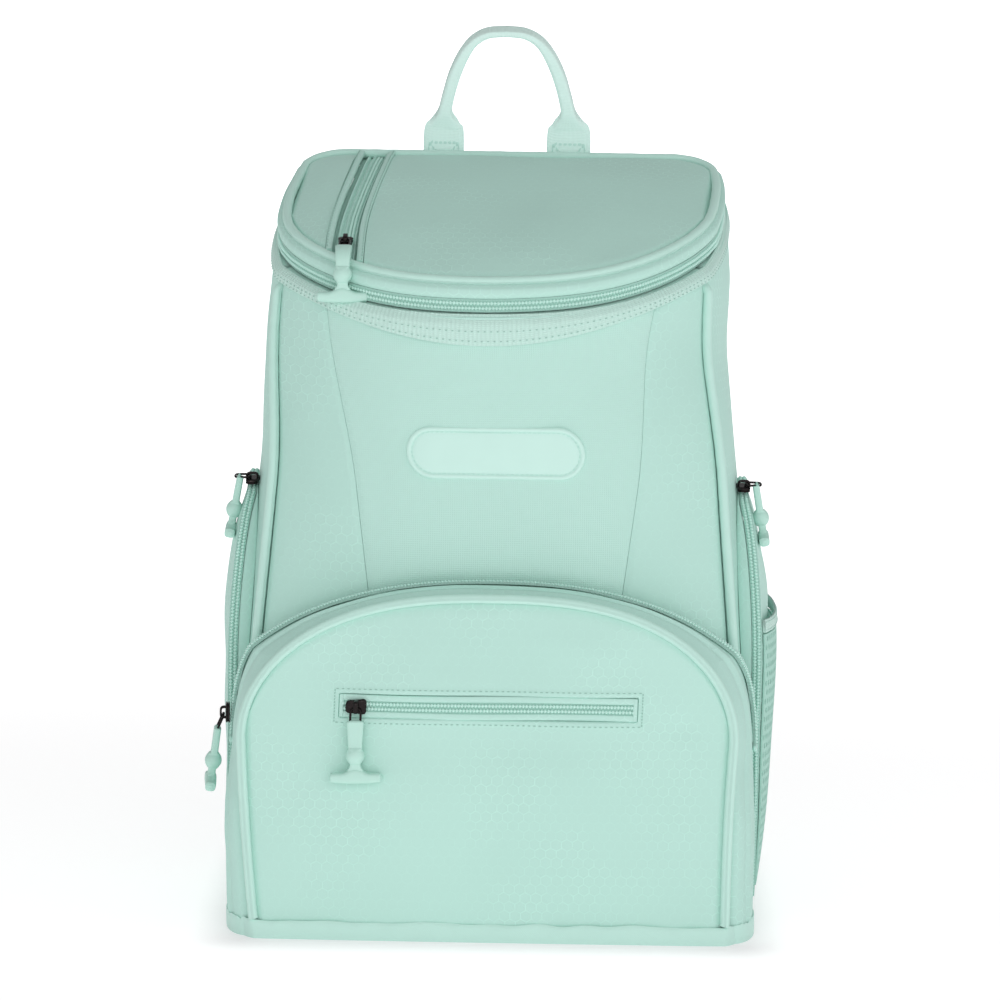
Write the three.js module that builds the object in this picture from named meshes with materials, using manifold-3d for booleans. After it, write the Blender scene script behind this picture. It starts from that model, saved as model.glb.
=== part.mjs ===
// Cooler backpack: a hollow padded body with a sloping D-shaped lid, an arched front pocket,
// two arched side pockets, a net bottle pocket, a grab handle and two shoulder straps.
// Millimetres, +Z up. The front faces -Y and the origin is the centre of the base, on the floor.
import * as THREE from 'three';
import { mergeVertices } from 'three/addons/utils/BufferGeometryUtils.js';
import Module from 'manifold-3d';

const wasm = await Module();
wasm.setup();

// Body sizes
const halfWidth = 143;
const frontDepth = 86;
const backDepth = 96;
const rimHeight = 334;
const lidRise = 66;
const cornerRadius = 30;
const wallThickness = 7;
const backThickness = 10;
const baseThickness = 6;
const clothThickness = 2;
const clearance = 0.3;

// Trim sizes
const pipingRadius = 2.6;
const zipWidth = 7.6;
const coilWidth = 4.4;
const coilHeight = 1.5;
const tapeThickness = 1.2;
const bindingHeight = 10;
const bindingThickness = 1.3;
const collarWidth = 15.4;
const collarSideWidth = 6;
const collarThickness = 1.2;

// Lid sizes
const gussetWidth = 5;
const lidInset = 5.8;
const lidThickness = 6;
const lidCrown = 7;
const lidZipOffset = 78;
const lidZipBend = 6;
const lidZipBand = 13;
const weltWidth = 4;

// Front panel seams, patch and handle sizes
const seamTopX = 88;
const seamLowX = 43;
const patchHalfLength = 47.5;
const patchHalfHeight = 14.2;
const patchHeight = 261;
const patchThickness = 1.8;
const handleSpan = 70;
const handleRise = 70;
const tabWidth = 23;
const webbingThickness = 2;

// Front pocket sizes
const pocketHalfWidth = 131;
const pocketHeight = 186;
const pocketShoulder = 110;
const pocketDepth = 105;
const pocketTaper = 5;
const pocketCrown = 5;
const pocketZipEnd = 99;
const slipHalfLength = 79;
const slipHeight = 13;
const slipCenter = 127.8;

// Side pocket sizes
const sidePocketHeight = 236;
const sidePocketShoulder = 130;
const sidePocketHalfDepth = 55;
const sidePocketBulge = 12;
const sidePocketBottom = 12;
const sideZipBand = 5.5;
const meshTop = 163;
const meshBulge = 4;
const meshThickness = 1.2;

// Strap sizes
const strapWidth = 60;
const strapThickness = 11;
const strapTopX = 52;
const strapLowX = 82;
const strapTop = 388;
const strapLow = 152;
const strapBow = 26;
const webbingWidth = 25;
const anchorX = 104;
const anchorHeight = 34;

// Zip pull sizes
const pullLength = 34;
const pullBar = 28;
const linkWidth = 5.4;
const linkWire = 1.3;
const sliderLength = 11;
const sliderWidth = 8;

// How the filled bag has settled: the lid's front drifts and leans, the front pocket drifts
const lidDrift = 6;
const lidLean = 2;
const pocketDrift = 3;

// Plan sections of the body by height: height as a share of rimHeight, side and seam half-widths
// as shares of halfWidth, seam and front depths as shares of frontDepth
const bodyRows = [
  { height: 0.0, side: 1.0, seam: 0.951, seamDepth: 0.76, front: 0.99 },
  { height: 0.18, side: 1.0, seam: 0.944, seamDepth: 0.75, front: 1.0 },
  { height: 0.45, side: 0.986, seam: 0.902, seamDepth: 0.71, front: 1.005 },
  { height: 0.73, side: 0.938, seam: 0.848, seamDepth: 0.56, front: 1.005 },
  { height: 1.0, side: 0.886, seam: 0.808, seamDepth: 0.34, front: 0.98 },
  { height: 1.25, side: 0.85, seam: 0.77, seamDepth: 0.24, front: 0.95 },
];

// Height of a side pocket's edge off the body: place as a share of sidePocketHeight, height as a
// share of sidePocketBulge
const pouchRows = [
  { place: 0.0, height: 0.38 },
  { place: 0.25, height: 0.6 },
  { place: 0.42, height: 0.72 },
  { place: 0.65, height: 1.0 },
  { place: 0.8, height: 1.0 },
  { place: 0.91, height: 0.8 },
  { place: 1.0, height: 0.36 },
];

// Outline of a zip pull along its length: place as a share of pullLength, half-width as a share of
// pullBar, half-thickness as a share of pullBar
const pullRows = [
  { place: 0.0, half: 0.15, thick: 0.075 },
  { place: 0.16, half: 0.155, thick: 0.08 },
  { place: 0.3, half: 0.155, thick: 0.085 },
  { place: 0.37, half: 0.165, thick: 0.125 },
  { place: 0.45, half: 0.178, thick: 0.165 },
  { place: 0.54, half: 0.155, thick: 0.13 },
  { place: 0.6, half: 0.125, thick: 0.09 },
  { place: 0.75, half: 0.135, thick: 0.09 },
  { place: 0.77, half: 0.5, thick: 0.09 },
  { place: 0.88, half: 0.5, thick: 0.115 },
  { place: 1.0, half: 0.36, thick: 0.07 },
];

// Grab handle from the foot of one tab to the top: place along the half loop, distance from the
// middle as a share of half handleSpan, height as a share of handleRise, half-width in the plane of
// the loop and half-depth across it as shares of tabWidth
const handleRows = [
  { across: 1.0, rise: -0.22, half: 0.5, deep: 0.05 },
  { across: 1.0, rise: 0.16, half: 0.5, deep: 0.05 },
  { across: 0.995, rise: 0.25, half: 0.36, deep: 0.09 },
  { across: 0.985, rise: 0.34, half: 0.18, deep: 0.17 },
  { across: 0.94, rise: 0.46, half: 0.15, deep: 0.2 },
  { across: 0.84, rise: 0.64, half: 0.145, deep: 0.21 },
  { across: 0.7, rise: 0.8, half: 0.13, deep: 0.23 },
  { across: 0.53, rise: 0.92, half: 0.105, deep: 0.24 },
  { across: 0.3, rise: 0.985, half: 0.09, deep: 0.25 },
  { across: 0.0, rise: 1.0, half: 0.085, deep: 0.25 },
];

// Shoulder strap from top to bottom: height between strapLow and strapTop, stand-off as a share of
// strapBow, width as a share of strapWidth, place between strapTopX and strapLowX
const strapRows = [
  { height: 1.0, bow: 0.0, width: 0.92, aside: 0.0 },
  { height: 0.9, bow: 0.28, width: 1.0, aside: -0.04 },
  { height: 0.75, bow: 0.78, width: 1.04, aside: 0.0 },
  { height: 0.55, bow: 1.0, width: 1.0, aside: 0.2 },
  { height: 0.35, bow: 0.8, width: 0.94, aside: 0.52 },
  { height: 0.15, bow: 0.4, width: 0.86, aside: 0.85 },
  { height: 0.0, bow: 0.2, width: 0.72, aside: 1.0 },
];

// Numbers and curves
const lerp = (a, b, t) => a + (b - a) * t;
const clamp = (t) => Math.min(1, Math.max(0, t));
const smooth = (t) => clamp(t) ** 2 * (3 - 2 * clamp(t));
const steps = (from, to, count) => Array.from({ length: count + 1 }, (_, i) => lerp(from, to, i / count));
const vec = (x, y, z) => new THREE.Vector3(x, y, z);
const across = (a, b) => vec().crossVectors(a, b).normalize();

// A smooth curve through one column of a table, keyed by another column
function through(rows, key, column, at) {
  const last = rows.length - 1;
  let i = 0;
  while (i < last - 1 && at > rows[i + 1][key]) i += 1;
  const slope = (k) => {
    const a = rows[Math.max(0, k - 1)];
    const b = rows[Math.min(last, k + 1)];
    return (b[column] - a[column]) / (b[key] - a[key]);
  };
  const span = rows[i + 1][key] - rows[i][key];
  const t = (at - rows[i][key]) / span;
  const rise = rows[i + 1][column] - rows[i][column];
  const m0 = slope(i) * span;
  const m1 = slope(i + 1) * span;
  return rows[i][column] + m0 * t + (3 * rise - 2 * m0 - m1) * t * t + (m0 + m1 - 2 * rise) * t ** 3;
}

// Body surface. u runs round the plan: 0 front centre, 1 front seam, 2 start of the back corner,
// 3 end of it, 4 back centre; negative u is the viewer's left
const planBow = 2.7;
const sideBow = 3.4;
const backPinch = 4;
const planStep = 0.1;

function planPoint(place, z) {
  const turned = place > 4 ? place - 8 : place < -4 ? place + 8 : place;
  const u = Math.abs(turned);
  const sign = Math.sign(turned) || 1;
  const h = z / rimHeight;
  const side = through(bodyRows, 'height', 'side', h) * halfWidth;
  const seam = through(bodyRows, 'height', 'seam', h) * halfWidth;
  const seamY = -through(bodyRows, 'height', 'seamDepth', h) * frontDepth;
  const frontY = -through(bodyRows, 'height', 'front', h) * frontDepth;
  const cornerY = backDepth - cornerRadius;
  const backSide = side - backPinch;
  if (u <= 1) return vec(sign * seam * u, lerp(frontY, seamY, u ** planBow), z);
  if (u <= 2) {
    const t = u - 1;
    const x = side - (side - seam) * (1 - t) ** sideBow - backPinch * t ** 3;
    return vec(sign * x, lerp(seamY, cornerY, t), z);
  }
  if (u <= 3) {
    const a = (u - 2) * Math.PI / 2;
    const x = backSide - cornerRadius + cornerRadius * Math.cos(a);
    return vec(sign * x, cornerY + cornerRadius * Math.sin(a), z);
  }
  return vec(sign * (backSide - cornerRadius) * (4 - u), backDepth, z);
}

function outward(u, z) {
  const a = planPoint(u - planStep, z);
  const b = planPoint(u + planStep, z);
  return vec(b.y - a.y, a.x - b.x, 0).normalize();
}

function bodyPoint(u, z, out = 0) {
  return planPoint(u, z).addScaledVector(outward(u, z), out);
}

// The rim is where the wall ends and the lid's zip begins; it rises evenly to the back
const rimFrontY = planPoint(0, rimHeight).y;
const rimPlane = (y) => rimHeight + lidRise * (y - rimFrontY) / (backDepth - rimFrontY);

function rimZ(u) {
  let z = rimHeight;
  for (let i = 0; i < 4; i += 1) z = rimPlane(planPoint(u, z).y);
  return z;
}

function lidPoint(u, inset, above) {
  const p = bodyPoint(u, rimZ(u), -inset);
  p.z = rimPlane(p.y) + above;
  return p;
}

// A filled bag settles: smooth shifts that every piece shares. The lid's drift grows from back to
// front and from the shoulders up, the pocket's drift from the front panel out
const driftBack = backDepth * 0.625;
const driftDepth = frontDepth * 1.16;
const driftFoot = rimHeight * 0.72;
const driftRise = rimHeight * 0.27;
const pouchBack = frontDepth * 0.75;
const pouchDepth = frontDepth * 0.35;

function settle(p) {
  const near = smooth((driftBack - p.y) / driftDepth) * smooth((p.z - driftFoot) / driftRise);
  const pouch = smooth((-p.y - pouchBack) / pouchDepth) * Math.sin(Math.PI * clamp(p.z / pocketHeight));
  const dx = -lidDrift * near - pocketDrift * pouch;
  const dz = lidLean * near * p.x / halfWidth;
  return vec(p.x + dx, p.y, p.z + dz);
}

function geometryFrom(positions, indices) {
  const geometry = new THREE.BufferGeometry();
  geometry.setAttribute('position', new THREE.Float32BufferAttribute(positions, 3));
  geometry.setIndex(indices);
  return geometry;
}

// Closed bodies from rings of points
function closedBody(points, faces) {
  const settled = points.map(settle);
  const volume = faces.reduce((sum, [a, b, c]) => {
    const edge = vec().crossVectors(settled[b], settled[c]);
    return sum + settled[a].dot(edge);
  }, 0);
  const order = volume > 0 ? faces : faces.map(([a, b, c]) => [a, c, b]);
  return geometryFrom(settled.flatMap((p) => p.toArray()), order.flat());
}

// Joins rings end to end. closed joins the last ring to the first; strip caps an end with quads
// between the ring's two halves, otherwise an end is a fan
function loft(rings, { closed = false, strip = false } = {}) {
  const n = rings[0].length;
  const count = rings.length;
  const faces = [];
  for (let i = 0; i < (closed ? count : count - 1); i += 1) {
    const a = i * n;
    const b = ((i + 1) % count) * n;
    for (let k = 0; k < n; k += 1) {
      const m = (k + 1) % n;
      faces.push([a + k, a + m, b + m], [a + k, b + m, b + k]);
    }
  }
  const cap = (start, flip) => {
    const face = (p, q, r) => {
      const corners = [start + p, start + q, start + r];
      faces.push(flip ? corners.reverse() : corners);
    };
    if (!strip) {
      for (let k = 1; k < n - 1; k += 1) face(0, k, k + 1);
      return;
    }
    for (let k = 0; k < n / 2 - 1; k += 1) {
      face(k, k + 1, n - 2 - k);
      face(k, n - 2 - k, n - 1 - k);
    }
  };
  if (!closed) {
    cap(0, true);
    cap((count - 1) * n, false);
  }
  return closedBody(rings.flat(), faces);
}

// A wall between two grids of points, columns first
function wall(outer, inner, closed = false) {
  return loft(outer.map((column, i) => [...column, ...[...inner[i]].reverse()]), { closed, strip: true });
}

// A wall given by a function of column, row and face: 0 outside, 1 inside
function sheet(columns, rows, point, closed = false) {
  const face = (side) => columns.map((c) => rows.map((r) => point(c, r, side)));
  return wall(face(0), face(1), closed);
}

// Corners of an ellipse round a point, set half a step off its axes
function ellipse(centre, first, second, wide, high, count) {
  return Array.from({ length: count }, (_, k) => {
    const a = (k + 0.5) * 2 * Math.PI / count;
    return centre.clone()
      .addScaledVector(first, wide * Math.cos(a))
      .addScaledVector(second, high * Math.sin(a));
  });
}

// A round cord along points, with a direction that fixes each section
function tube(points, directions, radius, sides = 6, closed = false) {
  const count = points.length;
  const rings = points.map((p, i) => {
    const before = points[closed ? (i + count - 1) % count : Math.max(0, i - 1)];
    const after = points[closed ? (i + 1) % count : Math.min(count - 1, i + 1)];
    const tangent = after.clone().sub(before).normalize();
    const second = across(tangent, directions[i]);
    const first = across(second, tangent);
    return ellipse(p, first, second, radius, radius, sides);
  });
  return loft(rings, { closed });
}

// Joins and cuts
function solidOf(geometry) {
  const merged = mergeVertices(geometry.clone(), 1e-4);
  const mesh = new wasm.Mesh({
    numProp: 3,
    vertProperties: Float32Array.from(merged.attributes.position.array),
    triVerts: Uint32Array.from(merged.index.array),
  });
  return new wasm.Manifold(mesh);
}

function geometryOf(solid) {
  const mesh = solid.getMesh();
  return geometryFrom(mesh.vertProperties, Array.from(mesh.triVerts));
}

const joined = (geometries) => geometryOf(geometries.map(solidOf).reduce((a, b) => a.add(b)));
const cut = (geometry, tool) => geometryOf(solidOf(geometry).subtract(solidOf(tool)));

// Finishes
const finish = (color, roughness, metalness = 0) =>
  new THREE.MeshStandardMaterial({ color, roughness, metalness, flatShading: true });
const finishes = {
  ripstop: finish(0xbee4d9, 0.75),
  canvas: finish(0xbfe5da, 0.85),
  binding: finish(0xc5eadf, 0.7),
  webbing: finish(0xc9ebe1, 0.8),
  zip: finish(0xa9d3c6, 0.6),
  metal: finish(0x2a2626, 0.3, 0.9),
  rubber: finish(0xb7ddd2, 0.5),
  patch: finish(0xcaeee4, 0.5),
  net: finish(0xa6d2c5, 0.8),
  foam: finish(0xa5cfc2, 0.85),
  plastic: finish(0x9cc8bb, 0.45),
};

const bag = new THREE.Group();

function add(name, geometry, material) {
  geometry.computeVertexNormals();
  const mesh = new THREE.Mesh(geometry, finishes[material]);
  mesh.name = name;
  bag.add(mesh);
}

const hands = [['left', -1], ['right', 1]];

// Body walls. Each runs from the base to the rim between two places round the plan
const wallFoot = baseThickness + clearance;
const seamGap = pipingRadius + 2 * clearance;
const panelRows = steps(0, 1, 7);
const seamProbe = 0.02;
const wallZ = (u, v) => lerp(wallFoot, rimZ(u) - 2 * clearance, v);
const seamLength = (z) => planPoint(1, z).distanceTo(planPoint(1 - seamProbe, z)) / seamProbe;
const sideLength = (z) => planPoint(1, z).distanceTo(planPoint(1 + seamProbe, z)) / seamProbe;
const panelSeam = (z) => lerp(seamLowX, seamTopX, z / rimHeight) / planPoint(1, z).x;

function panel(from, to, columns, thickness) {
  return sheet(steps(0, 1, columns), panelRows, (c, v, side) => {
    const middle = wallZ(lerp(from(rimHeight / 2), to(rimHeight / 2), c), v);
    const u = lerp(from(middle), to(middle), c);
    const p = bodyPoint(u, wallZ(u, v), -side * thickness);
    p.z = lerp(wallFoot, rimPlane(p.y) - 2 * clearance, v);
    return p;
  });
}

// Seam piping stands proud above the front pocket and lies sunk in the seam behind it
const pipingSunk = pipingRadius * 0.78;
const pipingRaised = pipingRadius * 0.23;
const pipingEmerges = pocketHeight * 0.9;
const pipingProud = (z) => lerp(-pipingSunk, pipingRaised, smooth((z - pipingEmerges) / 12));
const seamStart = (z) => panelSeam(z) + clearance / seamLength(z);
const seamStop = (z) => 1 - seamGap / seamLength(z);
const sideStart = (z) => 1 + seamGap / sideLength(z);
const sideStop = () => 3;
add('front_center_panel', panel((z) => -panelSeam(z), panelSeam, 10, wallThickness), 'canvas');
for (const [hand, sign] of hands) {
  const turn = (edge) => (z) => sign * edge(z);
  add(`front_side_panel_${hand}`, panel(turn(seamStart), turn(seamStop), 5, wallThickness), 'ripstop');
  add(`side_panel_${hand}`, panel(turn(sideStart), turn(sideStop), 9, wallThickness), 'ripstop');
  const pipe = steps(wallFoot + pipingRadius, rimZ(sign) - collarSideWidth - 2 * pipingRadius, 16);
  const centres = pipe.map((z) => bodyPoint(sign, z, pipingProud(z)));
  add(`body_piping_${hand}`, tube(centres, pipe.map((z) => outward(sign, z)), pipingRadius), 'binding');
}

// The back is a padded board between the two back corners
add('back_panel', sheet(steps(-1, 1, 6), panelRows, (c, v, side) => {
  const y = backDepth - side * backThickness;
  const z = lerp(wallFoot, rimPlane(y) - 2 * clearance, v);
  return vec(c * (planPoint(3, z).x - 2 * clearance), y, z);
}), 'foam');

// Front pocket. The outline runs up the left side, over the arch and down the right side;
// grow moves it outwards
const archBend = 0.8;
const upright = (p) => p < 0.25 || p > 0.75;
function pocketOutline(p, grow = 0) {
  const wide = pocketHalfWidth + grow;
  if (upright(p)) {
    const t = p < 0.25 ? p * 4 : (1 - p) * 4;
    const sign = p < 0.5 ? -1 : 1;
    return { x: sign * (wide - pocketTaper * (1 - t)), z: lerp(wallFoot, pocketShoulder, t) };
  }
  const a = (0.75 - p) * 2 * Math.PI;
  const c = Math.cos(a);
  const x = Math.sign(c) * wide * Math.abs(c) ** archBend;
  return { x, z: pocketShoulder + (pocketHeight - pocketShoulder + grow) * Math.sin(a) };
}

// The pocket's face is slightly crowned; out moves along -Y
function facePoint(x, z, out = 0) {
  const up = Math.sin(Math.PI * clamp(z / pocketHeight)) ** 0.7;
  const crown = pocketCrown * (1 - (x / pocketHalfWidth) ** 2) * up;
  return vec(x, -pocketDepth - crown - out, z);
}

// Where the pocket's gusset meets the body: round the corner on the sides, on the front at the top
const wrap = 20;
const archLift = 4;
const archShare = (p) => (upright(p) ? 0 : Math.sin((0.75 - p) * 2 * Math.PI) ** 2);
function gussetFoot(p, out) {
  const edge = pocketOutline(p, 0);
  const side = 1 - archShare(p);
  const z = edge.z + archLift * archShare(p);
  const reach = Math.abs(edge.x) + wrap * side;
  const seam = planPoint(1, z).x;
  const u = reach <= seam ? reach / seam : 1 + (reach - seam) / (planPoint(2, z).y - planPoint(1, z).y);
  return bodyPoint(Math.sign(edge.x) * u, z, out);
}

// A point of the gusset: t runs from the face's edge to the body
const bulge = 3;
const footLift = 1.8;
const faceGap = seamGap + 0.5;
function gussetPoint(p, t, out) {
  const edge = pocketOutline(p, out);
  const front = vec(edge.x, -pocketDepth + faceGap, edge.z);
  const foot = gussetFoot(p, clearance + clothThickness + footLift + out);
  foot.z += out * archShare(p);
  const aside = vec(edge.x, 0, upright(p) ? 0 : edge.z - pocketShoulder).normalize();
  return front.lerp(foot, t).addScaledVector(aside, bulge * Math.sin(Math.PI * t));
}

const faceColumns = steps(0, Math.PI, 12);
const faceInset = faceGap;
function faceGrid(out) {
  return faceColumns.map((a) => {
    const c = Math.cos(a);
    const wide = pocketHalfWidth - faceInset;
    const top = pocketShoulder + (pocketHeight - pocketShoulder - faceInset) * Math.sin(a);
    return steps(0, 1, 6).map((v) => {
      const z = lerp(wallFoot, top, v);
      const taper = pocketTaper * (1 - clamp((z - wallFoot) / (pocketShoulder - wallFoot)));
      return facePoint(-Math.sign(c) * (wide - taper) * Math.abs(c) ** archBend, z, out);
    });
  });
}

const slipEnds = steps(-slipHalfLength, slipHalfLength, 8);
const slipWindow = sheet(slipEnds, [-0.5, 0.5], (x, v, side) =>
  facePoint(x, slipCenter + v * slipHeight, side === 0 ? clothThickness : -2 * clothThickness));
add('front_pocket_face', cut(wall(faceGrid(0), faceGrid(-clothThickness)), slipWindow), 'ripstop');

const around = [...steps(0, 0.25, 4), ...steps(0.25, 0.75, 24).slice(1), ...steps(0.75, 1, 4).slice(1)];
const gussetCloth = sheet(around, steps(0, 1, 2), (p, t, side) => gussetPoint(p, t, -side * clothThickness));
add('front_pocket_gusset', gussetCloth, 'ripstop');
const pipePath = around.map((p) => {
  const edge = pocketOutline(p);
  return vec(edge.x, -pocketDepth, Math.max(edge.z, bindingHeight + 2 * clearance));
});
const pipeAside = pipePath.map((q) => vec(q.x, 0, Math.max(0, q.z - pocketShoulder)).normalize());
add('front_pocket_piping', tube(pipePath, pipeAside, pipingRadius, 5), 'binding');

// A zip is a flat tape with a raised coil: points of its section across the tape, then proud of it
function zipSection(width, proud) {
  const half = width / 2;
  const coil = coilWidth / 2;
  const top = tapeThickness + proud;
  return [
    [-half, 0], [-coil, 0], [coil, 0], [half, 0],
    [half, tapeThickness], [coil * 0.7, top], [-coil * 0.7, top], [-half, tapeThickness],
  ];
}

const pocketZipStart = 0.25 * (pocketZipEnd - wallFoot) / (pocketShoulder - wallFoot);
const pocketZipPlace = 0.74;
const pocketZipStep = 0.06;
const pocketZipProbe = 0.005;
const pocketZipPoint = (p) => gussetPoint(p, pocketZipPlace, 2 * clearance);
const pocketZipRings = steps(pocketZipStart, 1 - pocketZipStart, 26).map((p) => {
  const at = pocketZipPoint(p);
  const behind = gussetPoint(p, pocketZipPlace + pocketZipStep, 2 * clearance);
  const lay = behind.sub(at).normalize();
  const along = pocketZipPoint(p + pocketZipProbe).sub(pocketZipPoint(p - pocketZipProbe));
  const face = across(along, lay);
  return zipSection(zipWidth, coilHeight).map(([s, h]) =>
    at.clone().addScaledVector(lay, s).addScaledVector(face, h));
});
add('front_pocket_zip', loft(pocketZipRings, { strip: true }), 'zip');

const slipSink = 1.8;
const slipSection = zipSection(slipHeight - 2 * clearance, coilHeight);
const slipRings = steps(-slipHalfLength + clearance, slipHalfLength - clearance, 8).map((x) =>
  slipSection.map(([s, h]) => facePoint(x, slipCenter + s, h - slipSink)));
add('slip_pocket_zip', loft(slipRings, { strip: true }), 'zip');

// Side pockets, in the body's own coordinates round the side. The outline runs up the front edge,
// over the arch and down the back edge; grow moves it outwards
const sidePocketMiddle = 12;
function sideOutline(p, grow = 0) {
  const half = sidePocketHalfDepth + grow;
  if (upright(p)) {
    const t = p < 0.25 ? p * 4 : (1 - p) * 4;
    const y = p < 0.5 ? -half : half;
    return { y: sidePocketMiddle + y, z: lerp(sidePocketBottom - grow, sidePocketShoulder, t) };
  }
  const a = (0.75 - p) * 2 * Math.PI;
  const c = Math.cos(a);
  const y = sidePocketMiddle + Math.sign(c) * half * Math.abs(c) ** archBend;
  return { y, z: sidePocketShoulder + (sidePocketHeight - sidePocketShoulder + grow) * Math.sin(a) };
}

// A point beside the body at depth y and height z, out from the side wall
function sidePoint(sign, y, z, out) {
  const front = planPoint(1, z).y;
  const u = 1 + (y - front) / (backDepth - cornerRadius - front);
  return bodyPoint(sign * u, z, out);
}

const pouchHeight = (z) => sidePocketBulge * through(pouchRows, 'place', 'height', z / sidePocketHeight);
const pouchCrown = 0.8;
function pouchPoint(sign, y, z, out) {
  const over = clamp(1 - ((y - sidePocketMiddle) / sidePocketHalfDepth) ** 2);
  const up = Math.sin(Math.PI * clamp((z - sidePocketBottom) / (sidePocketHeight - sidePocketBottom)));
  return sidePoint(sign, y, z, pouchHeight(z) - clearance + pouchCrown * over * up + out);
}

function pouchGrid(sign, out, inset) {
  return steps(0, Math.PI, 10).map((a) => {
    const c = Math.cos(a);
    const y = sidePocketMiddle - Math.sign(c) * (sidePocketHalfDepth - inset) * Math.abs(c) ** archBend;
    const top = sidePocketShoulder + (sidePocketHeight - sidePocketShoulder - inset) * Math.sin(a);
    return steps(sidePocketBottom + inset, top, 6).map((z) => pouchPoint(sign, y, z, out));
  });
}

const sideAround = [...steps(0, 0.25, 4), ...steps(0.25, 0.75, 16).slice(1), ...steps(0.75, 1, 4).slice(1)];
const sideZipProud = 0.4;
const sideZipRound = 1.2;
const zipFoot = (z) => Math.max(clearance + 1, pouchHeight(z) - sideZipBand);
for (const [hand, sign] of hands) {
  const inset = clothThickness;
  const cloth = wall(pouchGrid(sign, 0, inset), pouchGrid(sign, -clothThickness, inset));
  add(`side_pocket_panel_${hand}`, cloth, 'ripstop');
  add(`side_pocket_gusset_${hand}`, sheet(sideAround, [0, 1], (p, t, side) => {
    const edge = sideOutline(p, -side * clothThickness);
    return sidePoint(sign, edge.y, edge.z, lerp(clearance, zipFoot(edge.z), t));
  }), 'ripstop');
  add(`side_pocket_zip_${hand}`, sheet(sideAround, [0, 0.5, 1], (p, t, side) => {
    const proud = side === 0 ? sideZipRound * Math.sin(Math.PI * t) + sideZipProud : -tapeThickness;
    const edge = sideOutline(p, proud);
    return sidePoint(sign, edge.y, edge.z, lerp(zipFoot(edge.z) + clearance, pouchHeight(edge.z), t));
  }), 'zip');
}

// Net bottle pocket on the right, open at its top edge
const meshInset = 5;
const meshHalf = sidePocketHalfDepth - meshInset;
const meshFoot = sidePocketBottom + meshInset;
function meshPoint(c, v, out) {
  const y = sidePocketMiddle + c * meshHalf;
  const z = lerp(meshFoot, meshTop, v);
  const swell = meshBulge * (1 - Math.abs(c) ** 4) * Math.sin(Math.PI * lerp(0, 0.72, v)) ** 0.6;
  return pouchPoint(1, y, z, clearance + swell + out);
}
const hemLow = 0.972;
const hemHigh = 1.02;
const netTop = hemLow - clearance / (meshTop - meshFoot);
const net = sheet(steps(-1, 1, 8), steps(0, netTop, 6), (c, v, side) =>
  meshPoint(c, v, (1 - side) * meshThickness));
add('mesh_pocket', net, 'net');
const hemRings = steps(-1, 1, 8).map((c) => {
  const low = meshPoint(c, hemLow, 0);
  const high = meshPoint(c, hemHigh, 0);
  const out = meshPoint(c, 1, meshThickness * 1.5).sub(meshPoint(c, 1, 0));
  return [low, high, high.clone().add(out), low.clone().add(out)];
});
add('mesh_hem', loft(hemRings, { strip: true }), 'webbing');

// Base: one board under the body and the front pocket, bound with a strip turned up round its edge.
// The outline runs from the left back corner round the front to the right back corner
const baseCorner = 0.36;
const baseRounding = 8;
const baseSideStart = 1.2;
function basePoint(s, out, z) {
  const sign = Math.sign(s) || 1;
  const u = Math.abs(s);
  const corner = gussetPoint(0, 0, 0);
  if (u <= baseCorner) {
    const x = sign * Math.abs(corner.x) * u / baseCorner;
    return vec(x, facePoint(x, wallFoot, out).y, z);
  }
  if (u <= 1) {
    const t = (u - baseCorner) / (1 - baseCorner);
    const p = sign < 0 ? 0 : 1;
    const q = gussetPoint(p, t, 0);
    const ahead = gussetPoint(p, Math.min(1, t + seamProbe), 0);
    const behind = gussetPoint(p, Math.max(0, t - seamProbe), 0);
    const normal = vec(ahead.y - behind.y, behind.x - ahead.x, 0).normalize().multiplyScalar(sign);
    const rounded = facePoint(corner.x, wallFoot, 0).y;
    const lift = Math.max(0, 1 - t * baseRounding);
    return vec(q.x + normal.x * out, lerp(q.y, rounded, lift) + normal.y * out, z);
  }
  const q = bodyPoint(sign * lerp(baseSideStart, 3, u - 1), wallFoot, out);
  return vec(q.x, q.y, z);
}
const baseHalf = [...steps(baseCorner, 1, 6).slice(1), ...steps(1, 2, 8).slice(1)];
const baseRound = [...baseHalf.map((s) => -s).reverse(), ...steps(-baseCorner, baseCorner, 6), ...baseHalf];
const baseInset = 0.5;
const boardRing = (z) => baseRound.map((s) => basePoint(s, -baseInset, z));
add('base_panel', loft([boardRing(0), boardRing(baseThickness)]), 'ripstop');
add('base_binding', sheet(baseRound, [0, bindingHeight], (s, z, side) =>
  basePoint(s, 2 * clearance + (side === 0 ? bindingThickness : 0), z)), 'binding');

// Lid. The panel fills the piping's ring and is split by the pocket zip, which runs front to back
const lidFoot = zipWidth + gussetWidth;
const pipeAbove = lidFoot + pipingRadius + clearance;
const panelInset = lidInset + seamGap;
const sidesRound = [...steps(1, 2, 6).slice(1), ...steps(2, 3, 5).slice(1), ...steps(3, 4, 3).slice(1)];
const halfRound = [...steps(0, 1, 10), ...sidesRound];
const ring = [...halfRound.map((u) => -u).reverse(), ...halfRound.slice(1, -1)];
const panelEdge = steps(-4, 4, 240).map((u) => lidPoint(u, panelInset, 0));
const edgeSide = panelEdge.reduce((most, p) => Math.max(most, p.x), 0) - 0.4;

// Front and back edge of the lid panel at a place across it
function edgeY(x, back) {
  const middle = sidePocketMiddle;
  for (let i = 1; i < panelEdge.length; i += 1) {
    const a = panelEdge[i - 1];
    const b = panelEdge[i];
    const crosses = (a.x - x) * (b.x - x) <= 0 && a.x !== b.x;
    const y = lerp(a.y, b.y, (x - a.x) / (b.x - a.x));
    if (crosses && (back ? y > middle : y <= middle)) return y;
  }
  return middle;
}

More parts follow.
